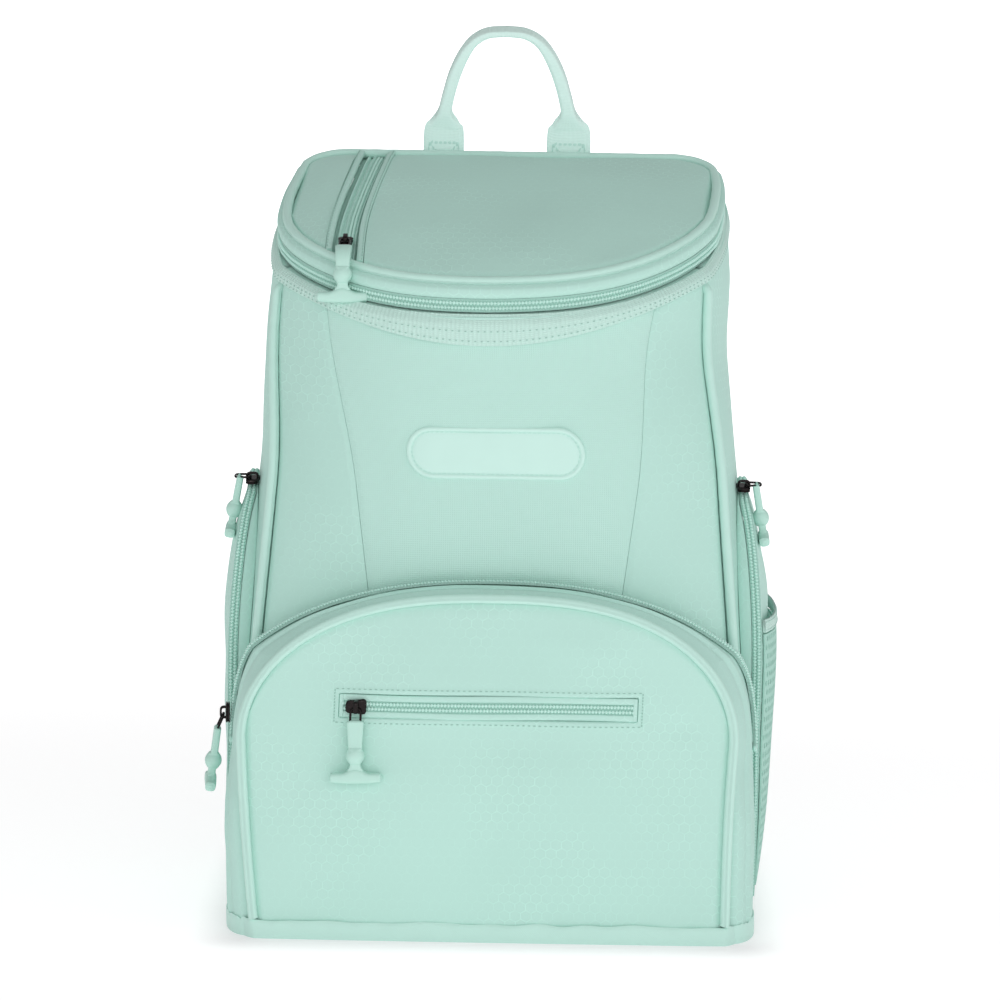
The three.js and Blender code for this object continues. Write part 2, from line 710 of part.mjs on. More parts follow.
const bendFrom = -20;
const lidZipX = (y) => -lidZipOffset + lidZipBend * clamp((y - bendFrom) / (backDepth - bendFrom)) ** 2;
function crownAt(x, y) {
  const held = Math.max(-edgeSide, Math.min(edgeSide, x));
  const front = edgeY(held, false);
  const back = edgeY(held, true);
  const v = clamp((y - front) / (back - front));
  return lidCrown * (1 - Math.abs(x / edgeSide) ** 3) * (1 - Math.abs(2 * v - 1) ** 3);
}
const panelLift = 1.6;
const lidTop = (x, y, out) => vec(x, y, rimPlane(y) + pipeAbove + panelLift + crownAt(x, y) + out);

// spread crowds the columns towards the side, where the edge turns
function lidSheet(nearX, farX, spread, columns) {
  return sheet(steps(0, 1, columns).map(spread), steps(0, 1, 8), (c, v, side) => {
    let y = sidePocketMiddle;
    let x = 0;
    for (let i = 0; i < 5; i += 1) {
      x = lerp(nearX(y), farX(y), c);
      y = lerp(edgeY(x, false), edgeY(x, true), v);
    }
    return lidTop(x, y, -side * lidThickness);
  });
}
const bandHalf = lidZipBand / 2 + weltWidth;
const closing = (c) => Math.sin(c * Math.PI / 2);
const opening = (c) => 1 - Math.cos(c * Math.PI / 2);
const bandRight = (y) => lidZipX(y) + bandHalf + clearance;
const bandLeft = (y) => lidZipX(y) - bandHalf - clearance;
add('lid_panel_main', lidSheet(bandRight, () => edgeSide, closing, 14), 'ripstop');
add('lid_panel_left', lidSheet(() => -edgeSide, bandLeft, opening, 6), 'ripstop');

// Pocket zip and its two folded welts, along the same line
function lidStrip(from, to, low, high) {
  return sheet(steps(0, 1, 10), [from, to], (v, s, side) => {
    let y = 0;
    for (let i = 0; i < 4; i += 1) y = lerp(edgeY(lidZipX(y) + s, false), edgeY(lidZipX(y) + s, true), v);
    return lidTop(lidZipX(y) + s, y, side === 0 ? high : low);
  });
}
const weltProud = 0.8;
const bandSunk = 1.4;
const weltEdge = lidZipBand / 2 + clearance;
add('lid_zip_welt_left', lidStrip(-bandHalf, -weltEdge, -lidThickness, weltProud), 'ripstop');
add('lid_zip_welt_right', lidStrip(weltEdge, bandHalf, -lidThickness, weltProud), 'ripstop');
add('lid_pocket_zip', lidStrip(-lidZipBand / 2, lidZipBand / 2, -lidThickness, -bandSunk), 'zip');

const lidPipe = ring.map((u) => lidPoint(u, lidInset, pipeAbove));
add('lid_piping', tube(lidPipe, ring.map((u) => outward(u, rimHeight)), pipingRadius, 5, true), 'binding');

// The band under the piping; behind, where the zip ends, it reaches down to the wall as the hinge
const zipStop = 3.2;
const hingeStep = 0.06;
const hinge = zipStop + hingeStep;
const hingeFoot = (u) => clearance + (Math.abs(u) < hinge ? zipWidth : 0);
const gussetRound = [...steps(-4, -hinge, 2), ...steps(-zipStop, zipStop, 32), ...steps(hinge, 4, 2)];
const gussetInset = 1.8;
const gussetSwell = 1.2;
add('lid_gusset', sheet(gussetRound.slice(0, -1), [0, 0.5, 1], (u, t, side) => {
  const inset = gussetInset - gussetSwell * Math.sin(Math.PI * t) + side * clothThickness;
  return lidPoint(u, inset, lerp(hingeFoot(u), lidFoot, t));
}, true), 'ripstop');

// Main zip, from one back corner round the front to the other
const mainZipInset = 3;
const mainZipEnd = zipStop - hingeStep / 2;
const mainSection = zipSection(zipWidth - 2 * clearance, coilHeight);
const mainZip = steps(-mainZipEnd, mainZipEnd, 36).map((u) =>
  mainSection.map(([s, h]) => lidPoint(u, mainZipInset - h, zipWidth / 2 + s)));
add('main_zip', loft(mainZip, { strip: true }), 'zip');

// Ribbed band below the zip, deepest at the front
const collarGap = 1.1;
const collarTurn = 0.9;
const collarDrop = (u) => lerp(collarWidth, collarSideWidth, smooth(Math.abs(u) / collarTurn));
add('collar_webbing', sheet(steps(-3, 3, 30), [0, 1], (u, t, side) => {
  const z = rimZ(u) - 2 * clearance - collarDrop(u) * (1 - t);
  return bodyPoint(u, z, collarGap + (side === 0 ? collarThickness : 0));
}), 'webbing');

// Patch: a pill-shaped plate that follows the front wall
const patchEnd = patchHalfLength * 0.994;
const patchColumns = steps(-1, 1, 12).map((c) => patchEnd * Math.sin(c * Math.PI / 2));
add('label_patch', sheet(patchColumns, steps(-1, 1, 2), (x, v, side) => {
  const over = Math.max(0, Math.abs(x) - patchHalfLength + patchHalfHeight);
  const z = patchHeight + v * Math.sqrt(patchHalfHeight ** 2 - over ** 2);
  return bodyPoint(x / planPoint(1, z).x, z, clearance + (side === 0 ? patchThickness : 0));
}), 'patch');

// Grab handle: flat tabs sewn to the back, folded to a grip between them
const handleFoot = rimZ(4) + lidFoot;
const handleY = backDepth + clearance + webbingThickness * 0.6;
const octagonFill = 1.12;
const handleSink = 0.2;
const handleHalf = handleRows.map((row) => ({
  centre: vec(row.across * handleSpan / 2, handleY, handleFoot + row.rise * handleRise),
  half: row.half * tabWidth,
  deep: Math.max(row.deep * tabWidth, webbingThickness / 2),
}));
const mirrored = (q) => ({ ...q, centre: q.centre.clone().multiply(vec(-1, 1, 1)) });
const handlePath = [...handleHalf.map(mirrored), ...handleHalf.slice(0, -1).reverse()];
const handleRings = handlePath.map((q, i) => {
  const before = handlePath[Math.max(0, i - 1)].centre;
  const after = handlePath[Math.min(handlePath.length - 1, i + 1)].centre;
  const side = across(after.clone().sub(before), vec(0, 1, 0));
  const sunk = q.centre.clone().add(vec(0, -handleSink * (q.deep - webbingThickness / 2), 0));
  return ellipse(sunk, side, vec(0, 1, 0), q.half * octagonFill, q.deep * octagonFill, 8);
});
add('grab_handle', loft(handleRings), 'webbing');

// Shoulder straps, their adjusting buckles and the webbing that anchors them
const strapBack = backDepth + clearance + strapThickness / 2;
const strapFill = 1.08;
function strapRow(row) {
  return {
    x: lerp(strapTopX, strapLowX, row.aside),
    y: strapBack + row.bow * strapBow,
    z: lerp(strapLow, strapTop, row.height),
    half: row.width * strapWidth / 2,
  };
}
for (const [hand, sign] of hands) {
  const rows = strapRows.map(strapRow);
  const rings = rows.map((row, i) => {
    const before = rows[Math.max(0, i - 1)];
    const after = rows[Math.min(rows.length - 1, i + 1)];
    const along = vec(sign * (after.x - before.x), after.y - before.y, after.z - before.z).normalize();
    const wide = across(vec(0, 1, 0), along);
    const thick = across(along, wide);
    const centre = vec(sign * row.x, row.y, row.z);
    return ellipse(centre, wide, thick, row.half * strapFill, strapThickness / 2 * strapFill, 8);
  });
  add(`shoulder_strap_${hand}`, loft(rings), 'foam');
}

// Ladder buckle at the strap's lower end: a frame with a middle bar
const slotWidth = webbingWidth + 2;
const buckleWidth = webbingWidth + 9;
const buckleHeight = 24;
const buckleThickness = 4;
const buckleRail = 4;
const slotHeight = (buckleHeight - 3 * buckleRail) / 2;
const buckleTop = strapLow - 3.5;
const anchorTail = 18;
const tailLength = 45;
const turnGap = 0.4;
const buckleY = strapRow(strapRows[strapRows.length - 1]).y;
function box(low, high) {
  const geometry = new THREE.BoxGeometry(high[0] - low[0], high[1] - low[1], high[2] - low[2]);
  geometry.translate((low[0] + high[0]) / 2, (low[1] + high[1]) / 2, (low[2] + high[2]) / 2);
  geometry.deleteAttribute('normal');
  geometry.deleteAttribute('uv');
  return geometry;
}
for (const [hand, sign] of hands) {
  const x = sign * strapLowX;
  const low = buckleTop - buckleHeight;
  const frame = box([x - buckleWidth / 2, buckleY - buckleThickness / 2, low],
    [x + buckleWidth / 2, buckleY + buckleThickness / 2, buckleTop]);
  const slots = [0, 1].map((k) => {
    const foot = low + buckleRail + k * (slotHeight + buckleRail);
    return box([x - slotWidth / 2, buckleY - buckleThickness, foot],
      [x + slotWidth / 2, buckleY + buckleThickness, foot + slotHeight]);
  });
  add(`strap_buckle_${hand}`, slots.reduce(cut, frame), 'plastic');

  // The webbing climbs from its anchor behind the buckle, over the middle bar and down as a tail
  const half = webbingThickness / 2;
  const behind = buckleY - buckleThickness / 2 - clearance - half;
  const before = buckleY + buckleThickness / 2 + clearance + half;
  const lowSlot = low + buckleRail + slotHeight / 2;
  const highSlot = lowSlot + slotHeight + buckleRail;
  const foot = backDepth + clearance + half;
  const turn = highSlot - half - turnGap;
  const route = [
    [anchorX, foot, anchorHeight - anchorTail],
    [anchorX, foot, anchorHeight],
    [lerp(anchorX, strapLowX, 0.5), lerp(foot, behind, 0.5), lerp(anchorHeight, low, 0.42)],
    [strapLowX, behind, low - buckleRail],
    [strapLowX, behind, lowSlot],
    [strapLowX, behind, turn],
    [strapLowX, buckleY, highSlot + turnGap / 2],
    [strapLowX, before, turn],
    [strapLowX, before + turnGap, lowSlot],
    [strapLowX, before + half, low - buckleRail],
    [strapLowX, before + half, low - tailLength],
  ].map(([px, py, pz]) => vec(sign * px, py, pz));
  const rings = route.map((q, i) => {
    const next = route[Math.min(route.length - 1, i + 1)];
    const along = next.clone().sub(route[Math.max(0, i - 1)]).normalize();
    const wide = vec(1, 0, 0);
    const thick = across(along, wide);
    return [[-1, -1], [1, -1], [1, 1], [-1, 1]].map(([a, b]) =>
      q.clone().addScaledVector(wide, a * webbingWidth / 2).addScaledVector(thick, b * half));
  });
  add(`strap_webbing_${hand}`, loft(rings, { strip: true }), 'webbing');
}

// Zip sliders, wire links and T-shaped pulls. at is a point on the coil and face points away from the
// tape; run is the zip's way, lay the way the link lies and hang the way the pull hangs once
// it has turned down over the share curl of its length
const windowLow = 2.7;
const windowHigh = windowLow + linkWire + 2 * clearance;
const bridgeTop = windowHigh + 1.2;
const bridgeHalf = 3.6;
const bridgeFoot = 1.4;
const bridgeWidth = 1.3;
const bridgeSink = 0.4;
const linkCorner = 1;
const noseShare = 0.6;
const tailShare = 0.85;
const pullGrip = 3;
const hexagonFill = 1.12;

function block(place, a0, a1, b, c0, c1) {
  return prism(place, [[a0, -b], [a1, -b], [a1, b], [a0, b]], c0, c1);
}

function prism(place, outline, low, high) {
  return loft([low, high].map((h) => outline.map(([a, b]) => place(a, b, h))));
}

function linkRing(start, lay, wide, length, radius) {
  const half = linkWidth / 2;
  const near = linkCorner;
  const far = length - linkCorner;
  const path = [
    [near, half], [far, half], [length, half - linkCorner], [length, linkCorner - half],
    [far, -half], [near, -half], [0, linkCorner - half], [0, half - linkCorner],
  ].map(([a, b]) => start.clone().addScaledVector(lay, a).addScaledVector(wide, b));
  const normal = across(lay, wide);
  return tube(path, path.map(() => normal), radius, 4, true);
}

function addPull(name, { at, face, run, lay, hang, reach, curl = 0.01 }) {
  const beside = across(face, lay);
  const along = across(beside, face);
  const axes = (first, second) => (a, b, c) =>
    at.clone().addScaledVector(first, a).addScaledVector(second, b).addScaledVector(face, c);
  const place = axes(along, beside);
  const wing = across(face, run);
  const nose = sliderLength / 2;
  const front = sliderWidth / 2 * noseShare;
  const rear = sliderWidth / 2 * tailShare;
  const plan = [[-nose, -front], [nose, -rear], [nose, rear], [-nose, front]];
  const body = prism(axes(across(wing, face), wing), plan, clearance, windowLow);
  const postFoot = windowLow - bridgeSink;
  const bridge = [
    block(place, -bridgeHalf, bridgeFoot - bridgeHalf, bridgeWidth, postFoot, bridgeTop),
    block(place, bridgeHalf - bridgeFoot, bridgeHalf, bridgeWidth, postFoot, bridgeTop),
    block(place, -bridgeHalf, bridgeHalf, bridgeWidth, windowHigh, bridgeTop),
  ];
  add(`${name}_slider`, joined([body, ...bridge]), 'metal');
  const start = place(bridgeHalf - bridgeFoot - linkWire, 0, (windowLow + windowHigh) / 2);
  add(`${name}_link`, linkRing(start, lay, beside, reach, linkWire / 2), 'metal');
  let centre = start.clone().addScaledVector(lay, reach - pullGrip);
  let passed = 0;
  const rings = pullRows.map((row) => {
    const way = lay.clone().lerp(hang, smooth((row.place + passed) / 2 / curl)).normalize();
    centre = centre.clone().addScaledVector(way, (row.place - passed) * pullLength);
    passed = row.place;
    const thick = across(way, beside);
    const bar = across(thick, way);
    return Array.from({ length: 6 }, (_, k) => {
      const a = k * Math.PI / 3;
      return centre.clone()
        .addScaledVector(bar, row.half * pullBar * Math.cos(a))
        .addScaledVector(thick, row.thick * pullBar * hexagonFill * Math.sin(a));
    });
  });
  const socket = linkRing(start, lay, beside, reach, linkWire / 2 + clearance);
  add(`${name}_pull`, cut(loft(rings), socket), 'rubber');
}

const unit = (x, y, z) => vec(x, y, z).normalize();
const slopeUp = across(vec(1, 0, 0), vec(0, backDepth - rimFrontY, lidRise));
const lidSliderBack = 5;
const lidSliderY = edgeY(lidZipX(0), false) + lidSliderBack;
addPull('lid_pocket', {
  at: lidTop(lidZipX(lidSliderY), lidSliderY, 1 - bandSunk),
  face: slopeUp,
  run: vec(0, 1, 0),
  lay: unit(0, -1, -0.06),
  hang: unit(0, -0.02, -1),
  reach: 14.4,
  curl: 0.5,
});

const frontSliderPlace = 0.2575;
const coilTop = tapeThickness + coilHeight;
addPull('front_pocket', {
  at: gussetPoint(frontSliderPlace, pocketZipPlace, 3 * clearance + coilTop),
  face: unit(-1, -0.1, 0),
  run: vec(0, 0, 1),
  lay: unit(-0.4, 0.12, -0.9),
  hang: unit(-0.13, 0.02, -1),
  reach: 11,
});

const slipSliderPlace = 4 - slipHalfLength;
addPull('slip_pocket', {
  at: facePoint(slipSliderPlace, slipCenter, coilTop - slipSink),
  face: vec(0, -1, 0),
  run: vec(1, 0, 0),
  lay: unit(0, -0.06, -1),
  hang: unit(0.02, 0, -1),
  reach: 9,
});

const sideSliderPlace = 0.45;
const sideSliderLift = 1.7;
for (const [hand, sign] of hands) {
  const seat = sideOutline(sideSliderPlace, sideZipProud + sideZipRound + 0.7);
  addPull(`side_pocket_${hand}`, {
    at: sidePoint(sign, seat.y, seat.z, pouchHeight(seat.z) - sideZipBand / 2 + sideSliderLift),
    face: unit(0, -0.2, 0.98),
    run: vec(0, 1, 0),
    lay: unit(sign, 0, -0.02),
    hang: unit(sign * 0.2, 0, -0.97),
    reach: 11,
  });
}

const mainSliderPlace = -2.7;
const mainFace = outward(mainSliderPlace, rimHeight);
addPull('main_zip', {
  at: lidPoint(mainSliderPlace, mainZipInset - coilTop, zipWidth / 2),
  face: mainFace,
  run: across(mainFace, vec(0, 0, 1)),
  lay: unit(mainFace.x * 0.3, mainFace.y * 0.3, -1),
  hang: unit(mainFace.x * 0.2, mainFace.y * 0.2, -1),
  reach: 10,
});

export default bag;
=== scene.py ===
import math
import bpy
import numpy as np
from mathutils import Matrix


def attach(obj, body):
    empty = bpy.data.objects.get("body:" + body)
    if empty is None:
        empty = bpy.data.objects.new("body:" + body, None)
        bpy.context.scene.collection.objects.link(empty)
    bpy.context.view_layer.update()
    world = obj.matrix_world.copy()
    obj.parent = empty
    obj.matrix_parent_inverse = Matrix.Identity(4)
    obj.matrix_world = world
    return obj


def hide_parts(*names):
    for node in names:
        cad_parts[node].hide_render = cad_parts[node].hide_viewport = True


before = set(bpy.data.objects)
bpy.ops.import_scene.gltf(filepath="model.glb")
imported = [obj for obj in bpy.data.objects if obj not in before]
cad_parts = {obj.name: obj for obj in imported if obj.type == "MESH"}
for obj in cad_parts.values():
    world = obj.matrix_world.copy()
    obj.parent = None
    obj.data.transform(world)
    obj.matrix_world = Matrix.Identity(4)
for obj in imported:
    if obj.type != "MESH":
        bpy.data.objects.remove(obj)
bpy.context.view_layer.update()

# Lengths are millimetres until a mesh is made. The bag stands on z 0 and its front faces -Y
MM = 0.001
WALL_FOOT = 6.3
GAP = 0.3
CLOTH = 2.0

# Body
HALF_WIDTH = 143.0
FRONT_DEPTH = 86.0
BACK_DEPTH = 96.0
RIM = 334.0
LID_RISE = 66.0
CORNER = 30.0
PINCH = 4.0
PADDING = 7.0
BACK_PADDING = 10.0
BODY_HEIGHT = np.array([0.0, 0.18, 0.45, 0.73, 1.0, 1.25])
BODY_SIDE = np.array([1.0, 1.0, 0.986, 0.938, 0.886, 0.85])
BODY_SEAM = np.array([0.951, 0.944, 0.902, 0.848, 0.808, 0.77])
BODY_SEAM_DEPTH = np.array([0.76, 0.75, 0.71, 0.56, 0.34, 0.24])
BODY_FRONT = np.array([0.99, 1.0, 1.005, 1.005, 0.98, 0.95])

# Pockets
POCKET_HALF = 131.0
POCKET_TOP = 186.0
POCKET_SHOULDER = 110.0
POCKET_DEPTH = 105.0
POCKET_TAPER = 5.0
POCKET_CROWN = 5.0
SLIP_HALF = 79.0
SLIP_CENTRE = 127.8
SLIP_HEIGHT = 13.0
SIDE_TOP = 236.0
SIDE_SHOULDER = 130.0
SIDE_HALF = 55.0
SIDE_MIDDLE = 12.0
SIDE_FOOT = 12.0
SIDE_BULGE = 12.0
SIDE_ZIP_WIDTH = 5.5
POUCH_PLACE = np.array([0.0, 0.25, 0.42, 0.65, 0.8, 0.91, 1.0])
POUCH_RISE = np.array([0.38, 0.6, 0.72, 1.0, 1.0, 0.8, 0.36])

# Trim
PIPE = 2.6
SEAM = PIPE + 2 * GAP
TUCK = PIPE * 0.85
LID_INSET = 5.8
ZIP_WIDTH = 7.6
LID_FOOT = ZIP_WIDTH + 5.0
PIPE_ABOVE = LID_FOOT + PIPE + GAP
TOOTH = 1.8


# Camera: the photograph looks down a little on the front, from two metres away
CAMERA_TARGET = np.array([1.2, 0.0, 224.0])
CAMERA_DISTANCE = 2000.0
CAMERA_AZIMUTH, CAMERA_ELEVATION, CAMERA_ROLL = (math.radians(a) for a in (0.4, 8.0, 0.9))
CAMERA_LENS = 129.6


def add_camera():
    """Places the camera on the line through its target at the given angles, rolled about that line."""
    ca, sa = math.cos(CAMERA_AZIMUTH), math.sin(CAMERA_AZIMUTH)
    ce, se = math.cos(CAMERA_ELEVATION), math.sin(CAMERA_ELEVATION)
    right = np.array([ca, sa, 0.0])
    up = np.array([-sa * se, ca * se, ce])
    ahead = np.array([-sa * ce, ca * ce, -se])
    cr, sr = math.cos(CAMERA_ROLL), math.sin(CAMERA_ROLL)
    turned_right = cr * right + sr * up
    turned_up = cr * up - sr * right
    place = (CAMERA_TARGET - CAMERA_DISTANCE * ahead) * MM
    data = bpy.data.cameras.new("camera")
    data.lens = CAMERA_LENS
    data.sensor_width = 36.0
    data.clip_end = 50.0
    camera = bpy.data.objects.new("camera", data)
    bpy.context.scene.collection.objects.link(camera)
    axes = np.eye(4)
    axes[:3, :4] = np.stack([turned_right, turned_up, -ahead, place], 1)
    camera.matrix_world = Matrix(axes.tolist())
    bpy.context.scene.camera = camera


add_camera()


# Numbers and curves
def lerp(a, b, t):
    """From a to b by the share t."""
    return a + (b - a) * t


def smooth(t):
    """Rises from 0 to 1 with level ends."""
    t = np.clip(t, 0.0, 1.0)
    return t * t * (3 - 2 * t)


def spline(keys, values, at):
    """A cubic between each two keys, with the slope of the neighbours on both sides."""
    at = np.asarray(at, float)
    last = len(keys) - 1
    before, after = np.maximum(np.arange(last + 1) - 1, 0), np.minimum(np.arange(last + 1) + 1, last)
    slope = (values[after] - values[before]) / (keys[after] - keys[before])
    i = np.clip(np.searchsorted(keys, at) - 1, 0, last - 1)
    span = keys[i + 1] - keys[i]
    t = (at - keys[i]) / span
    rise = values[i + 1] - values[i]
    m0, m1 = slope[i] * span, slope[i + 1] * span
    return values[i] + m0 * t + (3 * rise - 2 * m0 - m1) * t**2 + (m0 + m1 - 2 * rise) * t**3


def unit(v):
    """Vectors of length one, each divided by its own length."""
    v = np.asarray(v, float)
    return v / np.maximum(np.linalg.norm(v, axis=-1, keepdims=True), 1e-9)


def point(x, y, z):
    """Points from three coordinates of one shape."""
    return np.stack(np.broadcast_arrays(*(np.asarray(a, float) for a in (x, y, z))), -1)


def bent(value, power):
    """The value's size raised to a power, with its sign kept."""
    return np.sign(value) * np.abs(value) ** power


def bell(value, width):
    """A bell curve: one at zero, and less than two fifths beyond the width."""
    return np.exp(-((value / width) ** 2))


def circle(count):
    """Cosine and sine of even steps round a circle, starting half a step in."""
    turn = (np.arange(count) + 0.5) * 2 * np.pi / count
    return np.cos(turn), np.sin(turn)


def ripple(a, b, size, height, seed):
    """Soft creases: a sum of six waves of about one size, each in its own direction."""
    draw = np.random.default_rng(seed)
    total = 0.0
    spans = (0, np.pi), (0, 2 * np.pi), (0.7, 1.5)
    for turn, phase, scale in zip(*(draw.uniform(low, high, 6) for low, high in spans)):
        total = total + np.sin((a * np.cos(turn) + b * np.sin(turn)) * 2 * np.pi / (size * scale) + phase)
    return total * height / 6


# Body surface: u runs round the plan, 0 front centre, 1 front seam, 2 to 3 back corner, 4 back centre
def plan_point(u, z):
    """Front: a bow that falls back to the seam. Side: a curve that widens to the back.

    Then a quarter circle and a straight back. The measures are curves over the height.
    """
    u, z = np.broadcast_arrays(np.asarray(u, float), np.asarray(z, float))
    u = np.where(u > 4, u - 8, np.where(u < -4, u + 8, u))
    a = np.abs(u)
    h = z / RIM
    side = spline(BODY_HEIGHT, BODY_SIDE, h) * HALF_WIDTH
    seam = spline(BODY_HEIGHT, BODY_SEAM, h) * HALF_WIDTH
    seam_y = -spline(BODY_HEIGHT, BODY_SEAM_DEPTH, h) * FRONT_DEPTH
    front_y = -spline(BODY_HEIGHT, BODY_FRONT, h) * FRONT_DEPTH
    back_side, corner_y = side - PINCH, BACK_DEPTH - CORNER
    t = np.clip(a - 1, 0, 1)
    turn = (a - 2) * np.pi / 2
    where = [a <= 1, a <= 2, a <= 3]
    side_x = side - (side - seam) * (1 - t) ** 3.4 - PINCH * t**3
    corner_x = back_side - CORNER + CORNER * np.cos(turn)
    x = np.select(where, [seam * a, side_x, corner_x], (back_side - CORNER) * (4 - a))
    front = lerp(front_y, seam_y, np.clip(a, 0, 1) ** 2.7)
    y = np.select(where, [front, lerp(seam_y, corner_y, t), corner_y + CORNER * np.sin(turn)], BACK_DEPTH)
    return np.stack([np.where(u < 0, -x, x), y, z], -1)


def outward(u, z):
    """The level direction across the chord between two near places."""
    a, b = plan_point(np.asarray(u) - 0.1, z), plan_point(np.asarray(u) + 0.1, z)
    d = b - a
    return unit(np.stack([d[..., 1], -d[..., 0], np.zeros_like(d[..., 0])], -1))


def body_point(u, z, out=0.0):
    """A point of the wall moved out along its level direction."""
    return plan_point(u, z) + outward(u, z) * np.asarray(out, float)[..., None]


RIM_FRONT = float(plan_point(0.0, RIM)[1])


def rim_plane(y):
    """Height of the rim's plane, which rises evenly from the front to the back."""
    return RIM + LID_RISE * (y - RIM_FRONT) / (BACK_DEPTH - RIM_FRONT)


def rim_z(u):
    """The rim's height at a place round the plan, found by repeated steps from the wall to the plane."""
    z = np.full(np.shape(u), RIM)
    for _ in range(4):
        z = rim_plane(plan_point(u, z)[..., 1])
    return z


def lid_point(u, inset, above):
    """A point of the lid's rim: in from the wall, and above the sloping rim plane.

    Round the front corners it is the weighted mean of five near points, which eases them.
    """
    inset = np.broadcast_to(inset, np.shape(u))
    p = 0.0
    for shift, weight in ((-0.24, 0.15), (-0.12, 0.2), (0.0, 0.3), (0.12, 0.2), (0.24, 0.15)):
        near = u + shift * smooth((1.6 - np.abs(np.abs(u) - 1.0)) / 0.8) * smooth((2.3 - np.abs(u)) / 0.3)
        p = p + weight * body_point(near, rim_z(near), -inset)
    p[..., 2] = rim_plane(p[..., 1]) + above
    return p


def settle(p):
    """The filled bag's shifts, each a smooth weight times a length.

    The lid's front drifts left and leans, its back sags and spreads to the right, the pocket drifts left.
    """
    near = smooth((BACK_DEPTH * 0.625 - p[..., 1]) / (FRONT_DEPTH * 1.16))
    near = near * smooth((p[..., 2] - RIM * 0.72) / (RIM * 0.27))
    pouch = smooth((-p[..., 1] - FRONT_DEPTH * 0.75) / (FRONT_DEPTH * 0.35))
    pouch = pouch * np.sin(np.pi * np.clip(p[..., 2] / POCKET_TOP, 0, 1))
    moved = p.copy()
    high = smooth((p[..., 2] - RIM * 0.9) / (RIM * 0.15))
    behind = smooth((p[..., 1] - 20.0) / 70.0)
    moved[..., 0] += high * (3.0 + 4.0 * behind) * smooth(p[..., 0] / 110.0) - 6.0 * near - 3.0 * pouch
    moved[..., 2] -= 2.8 * behind * smooth((p[..., 2] - RIM) / 50.0) * smooth(BACK_DEPTH + 1.0 - p[..., 1])
    moved[..., 2] += 2.0 * near * p[..., 0] / HALF_WIDTH
    return moved


# Meshes
def quads(n, m, wrap_n=False, wrap_m=False):
    """The faces of an n by m grid of vertices."""
    i = np.arange(n if wrap_n else n - 1)[:, None]
    j = np.arange(m if wrap_m else m - 1)[None, :]
    i1, j1 = (i + 1) % n, (j + 1) % m
    return np.stack([i * m + j, i1 * m + j, i1 * m + j1, i * m + j1], -1).reshape(-1, 4)


def turned_out(points, faces):
    """The faces of a closed surface, reversed where the volume that they enclose comes out negative."""
    a, b, c, d = (points[faces[:, i]] for i in range(4))
    volume = (a * np.cross(b, c)).sum() + (a * np.cross(c, d)).sum()
    return faces[:, ::-1] if volume < 0 else faces


class Piece:
    """Gathers closed surfaces, with their cloth coordinates and material numbers, into one object."""

    def __init__(self, name):
        self.name = name
        self.points, self.faces, self.coords, self.finish = [], [], [], []
        self.count = 0

    def add(self, points, faces, coords, finish=0):
        """Adds one surface, settled, with one material number for its faces."""
        self.points.append(settle(points))
        self.faces.append(faces + self.count)
        self.coords.append(coords)
        self.finish.append(np.full(len(faces), finish))
        self.count += len(points)
        return self

    def loft(self, rings, closed=False, finish=0, coords=None):
        """Rings of one size joined end to end. An open end is closed by quads between the ring's two halves.

        The coordinates are the mean lengths along the rings and round them.
        """
        n, m = rings.shape[:2]
        faces = [quads(n, m, closed, True)]
        if not closed:
            k = np.arange(m // 2 - 1)
            cap = np.stack([k, k + 1, m - 2 - k, m - 1 - k], -1)
            faces += [cap, cap[:, ::-1] + (n - 1) * m]
        faces = np.concatenate(faces)
        if coords is None:
            along = np.linalg.norm(np.diff(rings, axis=0), axis=-1).mean(1)
            around = np.linalg.norm(np.diff(rings, axis=1), axis=-1).mean(0)
            s = np.concatenate([[0], np.cumsum(along)])[:, None]
            t = np.concatenate([[0], np.cumsum(around)])[None, :]
            coords = np.stack(np.broadcast_arrays(s, t), -1)
        flat = rings.reshape(-1, 3)
        return self.add(flat, turned_out(flat, faces), np.asarray(coords, float).reshape(-1, 2), finish)

    def wall(self, outer, inner, closed=False, finish=0, coords=None):
        """A wall between two grids. Both faces share their cloth coordinates."""
        rings = np.concatenate([outer, inner[:, ::-1]], 1)
        if coords is None:
            s = np.linalg.norm(np.diff(outer, axis=0), axis=-1)
            t = np.linalg.norm(np.diff(outer, axis=1), axis=-1)
            s = np.concatenate([np.zeros((1, s.shape[1])), np.cumsum(s, 0)])
            t = np.concatenate([np.zeros((t.shape[0], 1)), np.cumsum(t, 1)], 1)
            coords = np.stack([np.broadcast_to(s.mean(1)[:, None], t.shape), t], -1)
        coords = np.concatenate([coords, coords[:, ::-1]], 1)
        return self.loft(rings, closed, finish, coords)

    def build(self, slot, materials, replaces=(), sharp=48.0):
        """Makes the object in metres, with its cloth coordinates as a UV map, riding on the body."""
        mesh = bpy.data.meshes.new(self.name)
        points = np.concatenate(self.points) * MM
        mesh.from_pydata(points.tolist(), [], np.concatenate(self.faces).tolist())
        mesh.materials.clear()
        for material in materials:
            mesh.materials.append(material)
        mesh.polygons.foreach_set("material_index", np.concatenate(self.finish).astype(np.int32))
        mesh.polygons.foreach_set("use_smooth", np.ones(len(mesh.polygons), bool))
        corner = np.zeros(len(mesh.loops), np.int32)
        mesh.loops.foreach_get("vertex_index", corner)
        layer = mesh.uv_layers.new(name="cloth")
        layer.data.foreach_set("uv", np.concatenate(self.coords)[corner].astype(np.float32).ravel())
        mesh.update()
        mesh.set_sharp_from_angle(angle=math.radians(sharp))
        piece = bpy.data.objects.new(self.name, mesh)
        bpy.context.scene.collection.objects.link(piece)
        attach(piece, "root")
        if replaces:
            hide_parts(*replaces)
        return piece


